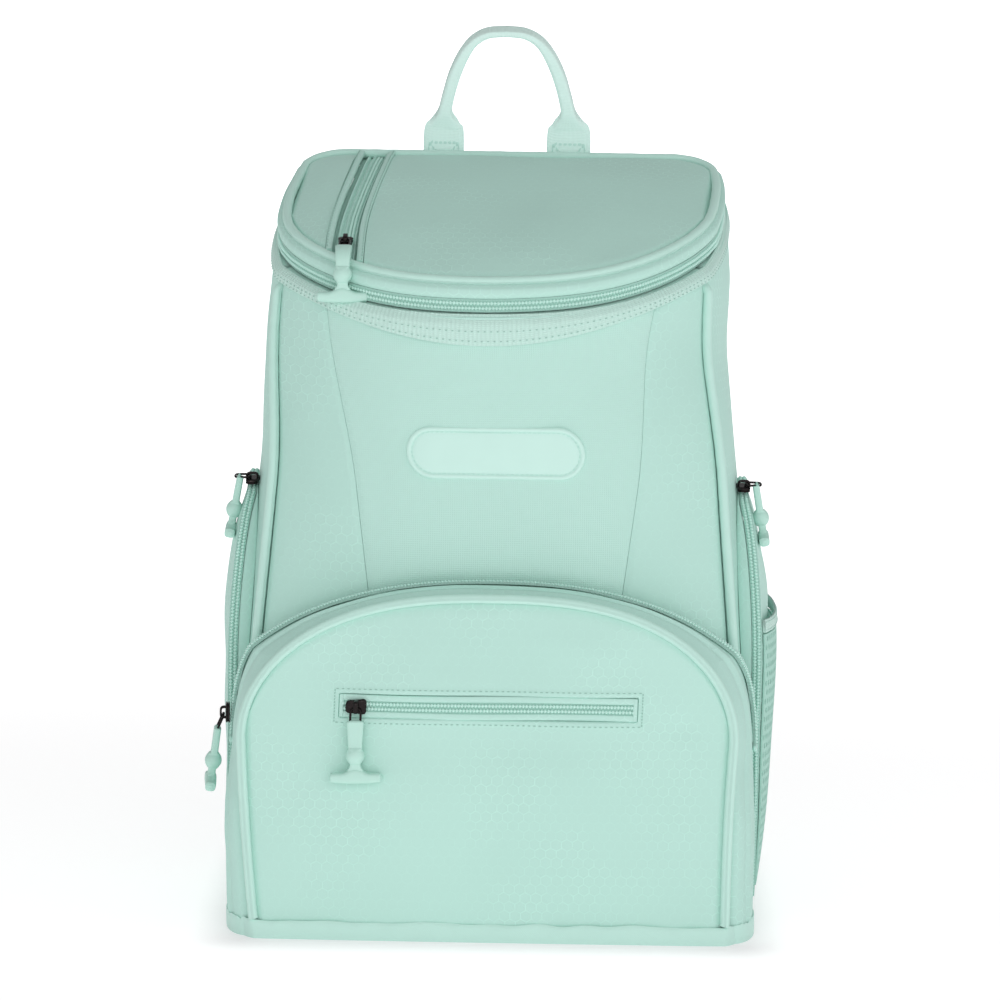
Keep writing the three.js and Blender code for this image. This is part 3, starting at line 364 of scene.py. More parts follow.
def rounded(count, wide, high, power=2.6):
    """A ring of points on a superellipse: cosine and sine raised to a power under one."""
    c, s = circle(count)
    return np.stack([wide * bent(c, 2 / power), high * bent(s, 2 / power)], -1)


def sweep(path, wide_way, high_way, section, scale=None):
    """Carries a flat section along a path: each of its points goes along the two ways given at each step."""
    section = np.broadcast_to(section, (len(path),) + np.shape(section)[-2:])
    if scale is not None:
        section = section * np.asarray(scale)[:, None, None]
    return path[:, None] + section[..., :1] * wide_way[:, None] + section[..., 1:] * high_way[:, None]


def frames(path, facing, closed=False):
    """The way along a path, the way across it and the facing made square to it."""
    ahead = unit(np.roll(path, -1, 0) - np.roll(path, 1, 0) if closed else np.gradient(path, axis=0))
    across = unit(np.cross(ahead, np.broadcast_to(facing, path.shape)))
    return ahead, across, unit(np.cross(across, ahead))


def evened(path, step, *others, closed=False):
    """The path, and what goes with it, at even steps of its length."""
    whole = np.concatenate([path, path[:1]]) if closed else path
    length = np.concatenate([[0], np.cumsum(np.linalg.norm(np.diff(whole, axis=0), axis=-1))])
    count = max(2, int(round(length[-1] / step)) + 1)
    at = np.linspace(0, length[-1], count)
    found = []
    for values in (path, *others):
        values = np.concatenate([values, values[:1]]) if closed else values
        even = np.stack([np.interp(at, length, values[:, k]) for k in range(3)], -1)
        found.append(even[:-1] if closed else even)
    return found


def tapered_ends(count, share=0.04, least=0.25):
    """One along most of a run, and a quarter ellipse down to the least at each end."""
    t = np.linspace(0, 1, count)
    end = np.clip(np.minimum(t, 1 - t) / share, 0, 1)
    return least + (1 - least) * np.sqrt(1 - (1 - end) ** 2)


def stitches(piece, path, facing, step=3.0, length=2.0, radius=0.32, finish=1, sink=0.1):
    """A row of thread ends: on each a small ellipsoid, long along the row, half sunk in the cloth."""
    path, facing = evened(path, step, np.broadcast_to(facing, path.shape))
    ahead, across, up = frames(path, facing)
    middle = (path[1:] + path[:-1]) / 2 + up[1:] * (radius * (1 - sink) - radius * 0.4)
    ahead, across, up = ahead[1:], across[1:], up[1:]
    turn = np.linspace(-np.pi / 2, np.pi / 2, 5)[1:-1]
    around = np.arange(6) * np.pi / 3
    ring_along = np.concatenate([[-1.0], np.sin(turn), [1.0]]) * length / 2
    ring_size = np.concatenate([[0.35], np.cos(turn), [0.35]]) * radius
    base = middle[:, None, None] + ring_along[None, :, None, None] * ahead[:, None, None]
    swing = np.cos(around)[None, None, :, None] * across[:, None, None]
    swing = swing + np.sin(around)[None, None, :, None] * up[:, None, None]
    points = base + ring_size[None, :, None, None] * swing
    one = quads(5, 6, False, True)
    caps = np.array([[0, 1, 2, 5], [5, 2, 3, 4]])
    flat = points.reshape(-1, 3)
    one = turned_out(flat[:30] - flat[:30].mean(0), np.concatenate([one, caps, caps[:, ::-1] + 24]))
    faces = (one[None] + np.arange(len(middle))[:, None, None] * 30).reshape(-1, 4)
    return piece.add(flat, faces, np.zeros((len(flat), 2)), finish)


def zip_run(piece, centre, lay, face, width, thick=1.2, row=1.3, size=1.1, lift=0.35):
    """A tape with two rows of coil teeth, beside its middle line.

    Each row is a cord whose radius swells once for every tooth, and the two are half a tooth apart.
    """
    across = np.array([-1.0, -0.5, 0.5, 1.0]) * width / 2
    low, high = (np.stack([across, np.full(4, height)], -1) for height in (0.0, thick))
    piece.loft(sweep(centre, lay, face, np.concatenate([low, high[::-1]])))
    middle, lay, face = evened(centre, TOOTH / 6, lay, face)
    lay, face = unit(lay), unit(face)
    tooth = np.arange(len(middle)) / 6
    ring = rounded(8, 1.0, 0.85, 2.2)
    for side, shift in ((-row, 0.0), (row, 0.5)):
        swell = 0.3 + 0.7 * np.abs(np.sin(np.pi * (tooth + shift))) ** 1.3
        path = middle + side * lay + (thick + lift) * face
        piece.loft(sweep(path, lay, face, ring * size, swell), finish=1)
    return piece


# Finishes
class Wire:
    """One value in a material's nodes. Python's operators add the Math nodes."""

    def __init__(self, tree, socket):
        self.tree, self.socket = tree, socket

    def math(self, operation, *values):
        """Adds one Math node, with this value first."""
        node = self.tree.nodes.new("ShaderNodeMath")
        node.operation = operation
        for place, value in enumerate((self, *values)):
            link(self.tree, value, node.inputs[place])
        return Wire(self.tree, node.outputs[0])

    def __add__(self, other):
        return self.math("ADD", other)

    def __sub__(self, other):
        return self.math("SUBTRACT", other)

    def __mul__(self, other):
        return self.math("MULTIPLY", other)

    def __truediv__(self, other):
        return self.math("DIVIDE", other)

    def __rsub__(self, other):
        return self.math("MULTIPLY_ADD", -1.0, other)

    __radd__, __rmul__ = __add__, __mul__

    def step(self, low, high):
        """Rises smoothly from 0 at low to 1 at high."""
        node = self.tree.nodes.new("ShaderNodeMapRange")
        node.interpolation_type = "SMOOTHSTEP"
        for place, value in enumerate((self, low, high, 0.0, 1.0)):
            link(self.tree, value, node.inputs[place])
        return Wire(self.tree, node.outputs[0])


def link(tree, value, socket):
    """Gives a socket its value: by a link from a node, or as a number or colour."""
    if isinstance(value, Wire):
        tree.links.new(value.socket, socket)
    else:
        socket.default_value = value


def linear(red, green, blue):
    """A colour of 0 to 255 as the renderer's linear light."""
    value = np.array([red, green, blue]) / 255
    value = np.where(value <= 0.04045, value / 12.92, ((value + 0.055) / 1.055) ** 2.4)
    return tuple(value.tolist()) + (1.0,)


class Finish:
    """A material under construction, with the Principled shader's values and the heights for its bump."""

    def __init__(self, name, color, roughness, metallic=0.0, sheen=0.0, coat=0.0):
        self.material = bpy.data.materials.new(name)
        self.material.use_nodes = True
        self.tree = self.material.node_tree
        self.shader = self.tree.nodes["Principled BSDF"]
        self.color = color
        self.set("Base Color", color)
        self.set("Roughness", roughness)
        self.set("Metallic", metallic)
        self.set("Sheen Weight", sheen)
        self.set("Coat Weight", coat)
        self.height = None

    def set(self, socket, value):
        """Sets or links one of the shader's sockets."""
        link(self.tree, value, self.shader.inputs[socket])

    def node(self, kind, output=0, settings=None, **sockets):
        """Adds a node of a kind, sets its settings, then its sockets, and gives one output."""
        made = self.tree.nodes.new(kind)
        for key, value in (settings or {}).items():
            setattr(made, key, value)
        for key, value in sockets.items():
            socket = int(key[1:]) if key[1:].isdigit() else key
            link(self.tree, value, made.inputs[socket])
        return Wire(self.tree, made.outputs[output])

    def cloth(self):
        """Both cloth coordinates, in millimetres along and across the piece."""
        uv = self.node("ShaderNodeUVMap", settings={"uv_map": "cloth"})
        return [self.node("ShaderNodeSeparateXYZ", k, Vector=uv) for k in (0, 1)]

    def noise(self, size, detail=2.0):
        """Cloudy noise from 0 to 1, with clouds of about this size in millimetres."""
        place = self.node("ShaderNodeTexCoord", 3)
        return self.node("ShaderNodeTexNoise", 0, Vector=place, Scale=1000.0 / size, Detail=detail)

    def shade(self, mask, color):
        """Mixes a second colour into the base colour by a mask."""
        before = self.shader.inputs["Base Color"]
        first = Wire(self.tree, before.links[0].from_socket) if before.is_linked else self.color
        mixed = self.node("ShaderNodeMix", 2, settings={"data_type": "RGBA"}, _0=mask, _6=first, _7=color)
        self.set("Base Color", mixed)

    def raise_by(self, height, distance):
        """Adds a height, in millimetres once multiplied by the distance, to the surface's bump."""
        part = height * distance
        self.height = part if self.height is None else self.height + part

    def done(self):
        """Links the bump and gives the material."""
        if self.height is not None:
            self.set("Normal", self.node("ShaderNodeBump", Height=self.height, Distance=MM, Strength=1.0))
        return self.material


def wave(value, length):
    """A sine of one wave for every length, from -1 to 1."""
    return (value * (2 * math.pi / length)).math("SINE")


def honeycomb(u, v, pitch):
    """Distance from the nearest edge of six-sided cells, as a share of the pitch.

    Two staggered lattices hold the cells' centres, and the nearer centre wins.
    """
    root = math.sqrt(3.0)
    a, b = u / pitch, v / pitch

    def offset(value, period, shift):
        """How far the value is from the middle of its period."""
        whole = (value + shift).math("DIVIDE", period).math("FLOOR") * period
        return (value + shift) - whole - period / 2

    ax, ay = offset(a, 1.0, 0.0), offset(b, root, 0.0)
    bx, by = offset(a, 1.0, 0.5), offset(b, root, root / 2)
    nearer = (ax * ax + ay * ay).math("LESS_THAN", bx * bx + by * by)
    x = (ax * nearer + bx * (1 - nearer)).math("ABSOLUTE")
    y = (ay * nearer + by * (1 - nearer)).math("ABSOLUTE")
    return 0.5 - x.math("MAXIMUM", x * 0.5 + y * (root / 2))


def tinted(color, factor):
    """A colour times a factor, no brighter than full."""
    return tuple(min(1.0, c * factor) for c in color[:3]) + (1.0,)


def ripstop(name, color):
    """Coated cloth: a fine plain weave with a faint raised honeycomb whose lines carry a painted highlight in
    drifting bands.
    """
    f = Finish(name, color, 0.62, sheen=0.04)
    f.set("Specular IOR Level", 0.3)
    u, v = f.cloth()
    edge = honeycomb(u, v, 5.7)
    line = edge.step(0.075, 0.03)
    band = f.noise(55.0, 1.0).step(0.42, 0.64)
    broken = f.noise(5.0, 2.0).step(0.35, 0.6)
    glint_lines = line * (0.22 + 0.78 * band) * (0.35 + 0.65 * broken)
    f.shade(f.noise(90.0, 2.0).step(0.3, 0.75) * 0.5, tinted(color, 0.955))
    # painted highlight: the honeycomb lines are coloured lighter where the drifting bands pass, for the light
    # they catch
    f.shade(glint_lines * 0.62, tinted(color, 1.14))
    weave = wave(u, 0.9) * wave(v, 0.9)
    f.raise_by(weave, 0.012)
    f.raise_by(glint_lines, 0.09)
    f.raise_by(f.noise(28.0, 3.0), 0.9)
    f.set("Roughness", 0.66 - 0.12 * glint_lines)
    return f.done()


def canvas(name, color):
    """Plain weave of round threads: crossed waves make the dots, with painted shade in the hollows between
    threads and a painted highlight on their tops.
    """
    f = Finish(name, color, 0.82, sheen=0.2)
    u, v = f.cloth()
    dots = wave(u + v, 2.3) * wave(u - v, 2.3)
    # painted shade in the weave's sunk hollows, then a painted highlight on the raised thread tops
    f.shade(dots.step(0.05, 0.9) * 0.38, tinted(color, 0.93))
    f.shade((0.0 - dots).step(0.2, 1.0) * 0.3, tinted(color, 1.06))
    f.raise_by(dots, -0.07)
    f.shade(f.noise(70.0, 2.0).step(0.3, 0.75) * 0.4, tinted(color, 0.96))
    f.raise_by(f.noise(30.0, 2.0), 0.6)
    return f.done()


def ribbed(name, color, pitch=2.3, depth=0.12, dark=0.9):
    """Webbing: ribs across its length, and finer threads along it, with painted shade in the grooves between
    them.
    """
    f = Finish(name, color, 0.8, sheen=0.2)
    u, v = f.cloth()
    ribs, threads = wave(u, pitch), wave(v, 1.1)
    # painted shade: the grooves between ribs and threads are coloured darker by the last factor
    f.shade((ribs * 0.6 + threads * 0.4).step(0.9, -0.6) * 0.5, tinted(color, dark))
    f.raise_by(ribs + threads * 0.6, depth)
    f.shade(f.noise(14.0, 3.0).step(0.35, 0.7) * 0.3, tinted(color, 0.95))
    return f.done()


def folded(name, color):
    """Binding tape: close twill lines, slightly glossy, with small creases."""
    f = Finish(name, color, 0.55, sheen=0.1)
    u, v = f.cloth()
    twill = wave(u + v * 0.8, 1.2)
    f.raise_by(twill, 0.02)
    f.raise_by(f.noise(9.0, 3.0), 0.35)
    f.shade(twill.step(0.0, 1.0) * 0.14, tinted(color, 0.94))
    f.shade(f.noise(35.0, 2.0).step(0.3, 0.75) * 0.35, tinted(color, 0.95))
    return f.done()


def plastic(name, color, roughness, coat=0.1, grain=0.12):
    """Moulded plastic or rubber: an even colour with a fine grain and soft patches."""
    f = Finish(name, color, roughness, coat=coat)
    f.raise_by(f.noise(0.7, 2.0), grain * 0.3)
    cloud = f.noise(12.0, 2.0)
    f.shade(cloud.step(0.35, 0.7) * 0.3, tinted(color, 0.96))
    f.set("Roughness", roughness + 0.12 * (cloud - 0.5))
    return f.done()


def metal(name):
    """Dark plated metal with light wear and small scratches."""
    color = linear(46, 42, 42)
    f = Finish(name, color, 0.22, metallic=1.0)
    rub = f.noise(2.5, 3.0)
    f.shade(rub.step(0.6, 0.8) * 0.3, linear(130, 122, 120))
    f.set("Roughness", 0.16 + 0.22 * rub)
    f.raise_by(f.noise(1.2, 3.0), 0.05)
    return f.done()


def spacer(name, color):
    """Padded mesh cloth: small round holes in staggered rows, with painted shade in the holes."""
    f = Finish(name, color, 0.85, sheen=0.25)
    u, v = f.cloth()
    holes = (wave(u + v * 0.577, 4.2) + wave(u - v * 0.577, 4.2) + wave(v * 1.155, 4.2)).step(1.1, 1.9)
    # painted shade: the sunk holes are coloured darker
    f.shade(holes * 0.75, tinted(color, 0.68))
    f.raise_by(holes, -0.5)
    f.raise_by(f.noise(24.0, 3.0), 0.8)
    f.shade(f.noise(60.0, 2.0).step(0.3, 0.7) * 0.4, tinted(color, 0.95))
    return f.done()


MINT = linear(190, 229, 218)
FINISH = {
    "ripstop": ripstop("ripstop_cloth", MINT),
    "canvas": canvas("canvas_cloth", linear(192, 231, 220)),
    "binding": folded("binding_tape", linear(197, 235, 224)),
    "webbing": ribbed("ribbed_webbing", linear(205, 239, 229)),
    # painted light: the handle's webbing is a lighter copy of the webbing colour, with less groove shade, for
    # the brighter light on the handle
    "handle_webbing": ribbed("handle_webbing", linear(228, 255, 248), 1.8, 0.03, 0.96),
    "flat_webbing": ribbed("strap_webbing", linear(205, 240, 231), 1.8, 0.08, 0.94),
    "tape": ribbed("zip_tape", linear(170, 212, 200), 1.3, 0.05, 0.9),
    "coil": plastic("zip_coil", linear(198, 237, 226), 0.42, 0.25),
    "metal": metal("dark_nickel"),
    "rubber": plastic("soft_rubber", linear(190, 229, 217), 0.5, 0.05),
    "patch": plastic("bare_patch", linear(204, 240, 230), 0.42, 0.15, 0.06),
    "net": plastic("net_cord", linear(176, 219, 206), 0.8, 0.0, 0.4),
    "foam": spacer("spacer_mesh", linear(182, 222, 210)),
    "thread": plastic("sewing_thread", linear(160, 200, 188), 0.75, 0.0),
    "pale_thread": plastic("pale_thread", linear(196, 234, 224), 0.75, 0.0),
    "buckle": plastic("buckle_plastic", linear(172, 214, 201), 0.4, 0.2),
}


def finishes(*names):
    """The materials of these names."""
    return [FINISH[name] for name in names]


HANDS = (("left", -1.0), ("right", 1.0))


# Body walls
def beside_seam(side, z):
    """How far the wall runs for one step of u, just before (-1) or after (1) the front seam."""
    return np.linalg.norm(plan_point(1.0, z) - plan_point(1.0 + 0.02 * side, z), axis=-1) / 0.02


def panel_seam(z):
    """The place round the plan of the seam beside the middle panel, which slants outwards to the rim."""
    return lerp(43.0, 88.0, z / RIM) / plan_point(1.0, z)[..., 0]


def wall_grid(left, right, columns, rows, out=0.0):
    """The wall between two places round the plan, from its foot to the rim."""
    c = np.linspace(0, 1, columns)[:, None]
    v = np.linspace(0, 1, rows)[None, :]
    middle = lerp(WALL_FOOT, rim_z(lerp(left(RIM / 2), right(RIM / 2), c)) - 2 * GAP, v)
    u = lerp(left(middle), right(middle), c)
    p = body_point(u, lerp(WALL_FOOT, rim_z(u) - 2 * GAP, v), np.broadcast_to(out, middle.shape))
    p[..., 2] = lerp(WALL_FOOT, rim_plane(p[..., 1]) - 2 * GAP, v)
    return p


def edge_distance(p):
    """Distance to the nearer side edge, and the length run from the first one, both along each row."""
    run = np.linalg.norm(np.diff(p, axis=0), axis=-1)
    run = np.concatenate([np.zeros((1, run.shape[1])), np.cumsum(run, 0)])
    return np.minimum(run, run[-1:] - run), run


def wall_panel(name, left, right, columns, rows, finish, seed, flat_coords):
    """A padded wall: it rounds down to its seams, swells a little between them and creases softly."""
    plain = wall_grid(left, right, columns, rows)
    near, run = edge_distance(plain)
    relief = -0.9 * bell(near, 2.0) + 0.45 * smooth(near / 28.0)
    relief = relief + ripple(run, plain[..., 2], 62.0, 1.1, seed) * smooth(near / 20.0)
    outer = wall_grid(left, right, columns, rows, relief)
    inner = wall_grid(left, right, columns, rows, -PADDING)
    coords = plain[..., [0, 2]] if flat_coords else np.stack([run, plain[..., 2]], -1)
    piece = Piece(name + "_cloth").wall(outer, inner, coords=coords)
    made = piece.build(finish, finishes(finish), (name,))


def body_walls():
    """The front's middle and side panels and the two sides that turn the back corners."""
    wall_panel("front_center_panel", lambda z: -panel_seam(z), panel_seam, 110, 130, "canvas", 3, True)
    for hand, sign in HANDS:
        wall_panel(
            f"front_side_panel_{hand}",
            lambda z: sign * (panel_seam(z) + GAP / beside_seam(-1, z)),
            lambda z: sign * (1 - TUCK / beside_seam(-1, z)),
            60, 130, "ripstop", 5, True,
        )
        wall_panel(
            f"side_panel_{hand}",
            lambda z: sign * (1 + TUCK / beside_seam(1, z)),
            lambda z: sign * 3.0,
            110, 130, "ripstop", 7, False,
        )


def pipe_proud(z):
    """Sunk in the seam behind the front pocket, standing proud above it."""
    return lerp(-PIPE * 0.78, PIPE * 0.23, smooth((z - POCKET_TOP * 0.75) / 12.0))


def body_piping():
    """A covered cord in each front seam, with folded ends."""
    for hand, sign in HANDS:
        top = float(rim_z(sign))
        z = np.linspace(WALL_FOOT + PIPE, top - 2.0, 220)
        path = body_point(sign, z, pipe_proud(z) - 3.4 * smooth((z - top + 13.0) / 4.0))
        _, across, up = frames(path, outward(sign, z))
        ring = rounded(14, PIPE, PIPE, 2.1)
        size = tapered_ends(len(z), 0.006, 0.55) * (1 + 0.03 * np.sin(z * 0.55) * np.sin(z * 0.13))
        piece = Piece(f"body_piping_{hand}_tape").loft(sweep(path, across, up, ring, size))
        piece.build("binding", finishes("binding"), (f"body_piping_{hand}",))


# Padding
def inflate(piece, voxel, cap, finish_coords):
    """Padding as cloth: even faces, blown up a little without weight, no point further than the cap."""
    scene = bpy.context.scene
    even = piece.modifiers.new("even", "REMESH")
    even.mode = "VOXEL"
    even.voxel_size = voxel * MM
    keep_result(piece)
    rest = read_points(piece.data)
    cloth = piece.modifiers.new("padding", "CLOTH")
    cloth.settings.quality = 4
    cloth.settings.use_pressure = True
    cloth.settings.uniform_pressure_force = 4.0
    cloth.settings.effector_weights.gravity = 0.0
    cloth.settings.tension_stiffness = 12.0
    cloth.point_cache.frame_start = 1
    cloth.point_cache.frame_end = 20
    for step in range(1, 21):
        scene.frame_set(step)
    keep_result(piece)
    scene.frame_set(1)
    moved = read_points(piece.data) - rest
    far = np.linalg.norm(moved, axis=-1, keepdims=True)
    held = rest + moved * np.minimum(1.0, cap * MM / np.maximum(far, 1e-9))
    piece.data.vertices.foreach_set("co", held.astype(np.float32).ravel())
    layer = piece.data.uv_layers.new(name="cloth")
    corner = np.zeros(len(piece.data.loops), np.int32)
    piece.data.loops.foreach_get("vertex_index", corner)
    layer.data.foreach_set("uv", (held[:, finish_coords] / MM)[corner].astype(np.float32).ravel())
    piece.data.polygons.foreach_set("use_smooth", np.ones(len(piece.data.polygons), bool))
    piece.data.update()
    finer = piece.modifiers.new("finer", "SUBSURF")
    finer.levels = finer.render_levels = 1


def keep_result(piece):
    """Applies what the piece's modifiers have made."""
    evaluated = piece.evaluated_get(bpy.context.evaluated_depsgraph_get())
    result = bpy.data.meshes.new_from_object(evaluated)
    piece.modifiers.clear()
    piece.data = result


def read_points(mesh):
    """The mesh's vertices as an array."""
    points = np.zeros(len(mesh.vertices) * 3, np.float32)
    mesh.vertices.foreach_get("co", points)
    return points.reshape(-1, 3).astype(float)


def back_pad():
    """The padded back: a board between the back corners, blown up as cloth.

    It is thinner towards its edges by a square root, and two channels run down it.
    """
    c = np.linspace(-1, 1, 60)[:, None]
    v = np.linspace(0, 1, 110)[None, :]
    rim = rim_plane(BACK_DEPTH) - 2 * GAP
    z = lerp(WALL_FOOT + 1.0, rim - 1.0, v) + 0 * c
    x = c * (plan_point(3.0, z)[..., 0] - 3 * GAP - 1.0)
    edge = np.minimum((1 - np.abs(c)) * 100, np.minimum(v, 1 - v) * 380)
    full = np.sqrt(np.clip(edge / 8.0, 0, 1))
    channels = bell(np.abs(x) - 26.0, 3.5) * smooth((edge - 12) / 20)
    outer = point(x, BACK_DEPTH - 1.6 - 2.2 * (1 - full) - 2.0 * channels, z)
    inner = point(x, BACK_DEPTH - BACK_PADDING + 1.0 + 0 * z, z)
    piece = Piece("back_panel_pad").wall(outer, inner, coords=outer[..., [0, 2]])
    made = piece.build("foam", finishes("foam"), ("back_panel",))
    inflate(made, 4.5, 2.4, [0, 2])


# Front pocket
def arch_points(p, half, foot, shoulder, top, taper):
    """Up the left side to the shoulder, over the arch and down the right side: cross place and height."""
    upright = (p < 0.25) | (p > 0.75)
    t = np.clip(np.where(p < 0.5, p, 1 - p) * 4, 0, 1)
    turn = (0.75 - p) * 2 * np.pi
    c = np.cos(turn)
    side = np.where(p < 0.5, -1.0, 1.0) * (half - taper * (1 - t))
    across = np.where(upright, side, half * bent(c, 0.8))
    return across, np.where(upright, lerp(foot, shoulder, t), shoulder + (top - shoulder) * np.sin(turn))


def pocket_outline(p, grow=0.0):
    """The front pocket's outline, and how far outside it."""
    return arch_points(p, POCKET_HALF + grow, WALL_FOOT, POCKET_SHOULDER, POCKET_TOP + grow, POCKET_TAPER)


def face_point(x, z, out=0.0):
    """The pocket's face: a plane crowned towards its middle."""
    up = np.abs(np.sin(np.pi * np.clip(z / POCKET_TOP, 0, 1))) ** 0.7
    return point(x, -POCKET_DEPTH - POCKET_CROWN * (1 - (x / POCKET_HALF) ** 2) * up - out, z)


def gusset_point(p, t, out):
    """From the face's edge (t 0) to the body (t 1), bulging between them."""
    p, t = np.broadcast_arrays(np.asarray(p, float), np.asarray(t, float))
    upright = (p < 0.25) | (p > 0.75)
    arch = np.where(upright, 0.0, np.sin((0.75 - p) * 2 * np.pi) ** 2)
    x, z = pocket_outline(p, out)
    front = point(x, -POCKET_DEPTH + SEAM + 0.5, z)
    edge_x, edge_z = pocket_outline(p)
    foot_z = edge_z + 4.0 * arch
    reach = np.abs(edge_x) + 20.0 * (1 - arch)
    seam = plan_point(1.0, foot_z)
    beyond = (reach - seam[..., 0]) / (BACK_DEPTH - CORNER - seam[..., 1])
    u = np.where(reach <= seam[..., 0], reach / seam[..., 0], 1 + beyond)
    foot = body_point(np.sign(edge_x) * u, foot_z, GAP + CLOTH + 1.8 + out)
    foot[..., 2] += out * arch
    aside = unit(point(x, 0.0, np.where(upright, 0.0, z - POCKET_SHOULDER)))
    straight = lerp(front, foot, t[..., None]) + aside * (3.0 * np.sin(np.pi * t))[..., None]
    turn = t * np.pi / 2
    spread = foot[..., 0] + np.sign(x) * 3.5 * (1 - t**3) - front[..., 0]
    wide = front[..., 0] + spread * np.sin(turn) ** 0.8
    boxy = point(wide, lerp(front[..., 1], foot[..., 1], 1 - np.cos(turn)), straight[..., 2])
    return lerp(straight, boxy, smooth((POCKET_SHOULDER + 10.0 - edge_z) / 60.0)[..., None])


def face_relief(x, z, edge):
    """Height of the face's cloth, a sum of bells and smooth steps.

    It is rolled to its edge, waved, sunk at the slip zip, raised beside it, and has a soft dent.
    """
    off = np.abs(z - SLIP_CENTRE)
    window = smooth((SLIP_HEIGHT / 2 + 0.2 - off) / 0.8) * smooth((SLIP_HALF + 0.4 - np.abs(x)) / 1.6)
    ridge = bell(off - SLIP_HEIGHT / 2 - 1.6, 1.6) * smooth((SLIP_HALF + 3 - np.abs(x)) / 4)
    pucker = bell(off - 22.0, 9.0) * smooth((SLIP_HALF + 14 - np.abs(x)) / 30)
    dent = bell(x - 104.0, 9.0) * bell(z - 118.0, 7.0)
    out = -1.3 * bell(edge, 2.2) + ripple(x, z, 75.0, 1.6, 11) * smooth(edge / 25)
    return out - 2.5 * window + 0.35 * ridge - 0.5 * pucker - 1.0 * dent


def pocket_face():
    """The crowned face with its arched top, between two grids whose rows follow the arch."""
    cross = np.sin(np.linspace(-np.pi / 2, np.pi / 2, 230))[:, None]
    low = np.concatenate([np.linspace(0, 0.79, 44)[:-1], np.linspace(0.79, 1.0, 58)])
    rows = np.concatenate([low, 1 + np.linspace(0, 1, 20)[1:]])[None, :]
    top = POCKET_SHOULDER + (POCKET_TOP - POCKET_SHOULDER - TUCK) * np.sqrt(1 - np.abs(cross) ** 2.5)
    split = np.minimum(140.0, lerp(WALL_FOOT, top, 0.85))
    z = np.where(rows <= 1, lerp(WALL_FOOT, split, np.clip(rows, 0, 1)), lerp(split, top, rows - 1))
    taper = POCKET_TAPER * (1 - np.clip((z - WALL_FOOT) / (POCKET_SHOULDER - WALL_FOOT), 0, 1))
    x = cross * (POCKET_HALF - TUCK - taper)
    plain = face_point(x, z)
    edge = np.minimum(POCKET_HALF - TUCK - taper - np.abs(x), top - z)
    out = face_relief(x, z, edge)
    outer, inner = face_point(x, z, out), face_point(x, z, out - CLOTH)
    piece = Piece("front_pocket_face_cloth").wall(outer, inner, coords=plain[..., [0, 2]])
    half, high = SLIP_HALF + 2.6, SLIP_HEIGHT / 2 + 2.6
    run, rise = np.linspace(-half, half, 90), np.linspace(-high, high, 20)
    rows = [(run, SLIP_CENTRE + row + 0 * run, 2.9, 1.5, 0.3) for row in (high, -high)]
    rows += [(end + 0 * rise, SLIP_CENTRE + rise, 1.6, 1.1, 0.34) for end in (half, -half)]
    for x, z, *sizes in rows:
        stitches(piece, face_point(x, z, face_relief(x, z, 40.0)), np.array([0, -1.0, 0]), *sizes)
    made = piece.build("ripstop", finishes("ripstop", "thread"), ("front_pocket_face",))


def pocket_gusset():
    """The gusset: a rounded band beside the piping, a folded lip, then the flat that carries the zip."""
    p, t = np.linspace(0, 1, 420)[:, None], np.linspace(0, 1, 34)[None, :]
    lip = 0.9 * bell(t - 0.5, 0.045) - 0.7 * bell(t - 0.41, 0.04)
    crease = ripple(p * 620, t * 20, 34.0, 0.5, 21) * np.sin(np.pi * t)
    outer = gusset_point(p, t, lip + crease - 0.5 * bell(t, 0.06))
    inner = gusset_point(p, t, -CLOTH)
    piece = Piece("front_pocket_gusset_cloth").wall(outer, inner)
    made = piece.build("ripstop", finishes("ripstop"), ("front_pocket_gusset",))


def pocket_piping():
    """The covered cord round the face."""
    x, z = pocket_outline(np.linspace(0, 1, 420))
    z = np.maximum(z, 10.6)
    path = evened(point(x, -POCKET_DEPTH, z), 1.4)[0]
    aside = unit(point(path[:, 0], 0.0, np.maximum(0.0, path[:, 2] - POCKET_SHOULDER)))
    _, across, up = frames(path, aside)
    size = 1 + 0.02 * np.sin(np.arange(len(path)) * 0.9) * np.sin(np.arange(len(path)) * 0.17)
    ring = rounded(14, PIPE, PIPE, 2.1)
    piece = Piece("front_pocket_piping_tape").loft(sweep(path, across, up, ring, size))
    piece.build("binding", finishes("binding"), ("front_pocket_piping",))


def pocket_zip():
    """Tape and coil over the arch, with a bound end on each side."""
    start = 0.25 * (99.0 - WALL_FOOT) / (POCKET_SHOULDER - WALL_FOOT)
    p = np.linspace(start, 1 - start, 200)
    centre = gusset_point(p, 0.74, 2 * GAP)
    lay = unit(gusset_point(p, 0.80, 2 * GAP) - centre)
    face = unit(np.cross(np.gradient(centre, axis=0), lay))
    piece = Piece("front_pocket_zip_coil")
    zip_run(piece, centre, lay, face, ZIP_WIDTH)
    run = np.linspace(-1.4, 3.6, 12)[:, None]
    bow = np.sin(np.linspace(0.15, np.pi - 0.15, 12)) ** 0.4
    ring = rounded(12, ZIP_WIDTH * 0.56, 1.6, 3.0)
    for end, inner in ((0, 2), (-1, -3)):
        path = centre[end] + unit(centre[inner] - centre[end]) * run + face[end] * 0.9
        ways = (np.broadcast_to(way[end], path.shape) for way in (lay, face))
        piece.loft(sweep(path, *ways, ring, bow), finish=2)
    piece.build("zip", finishes("tape", "coil", "ripstop"), ("front_pocket_zip",))


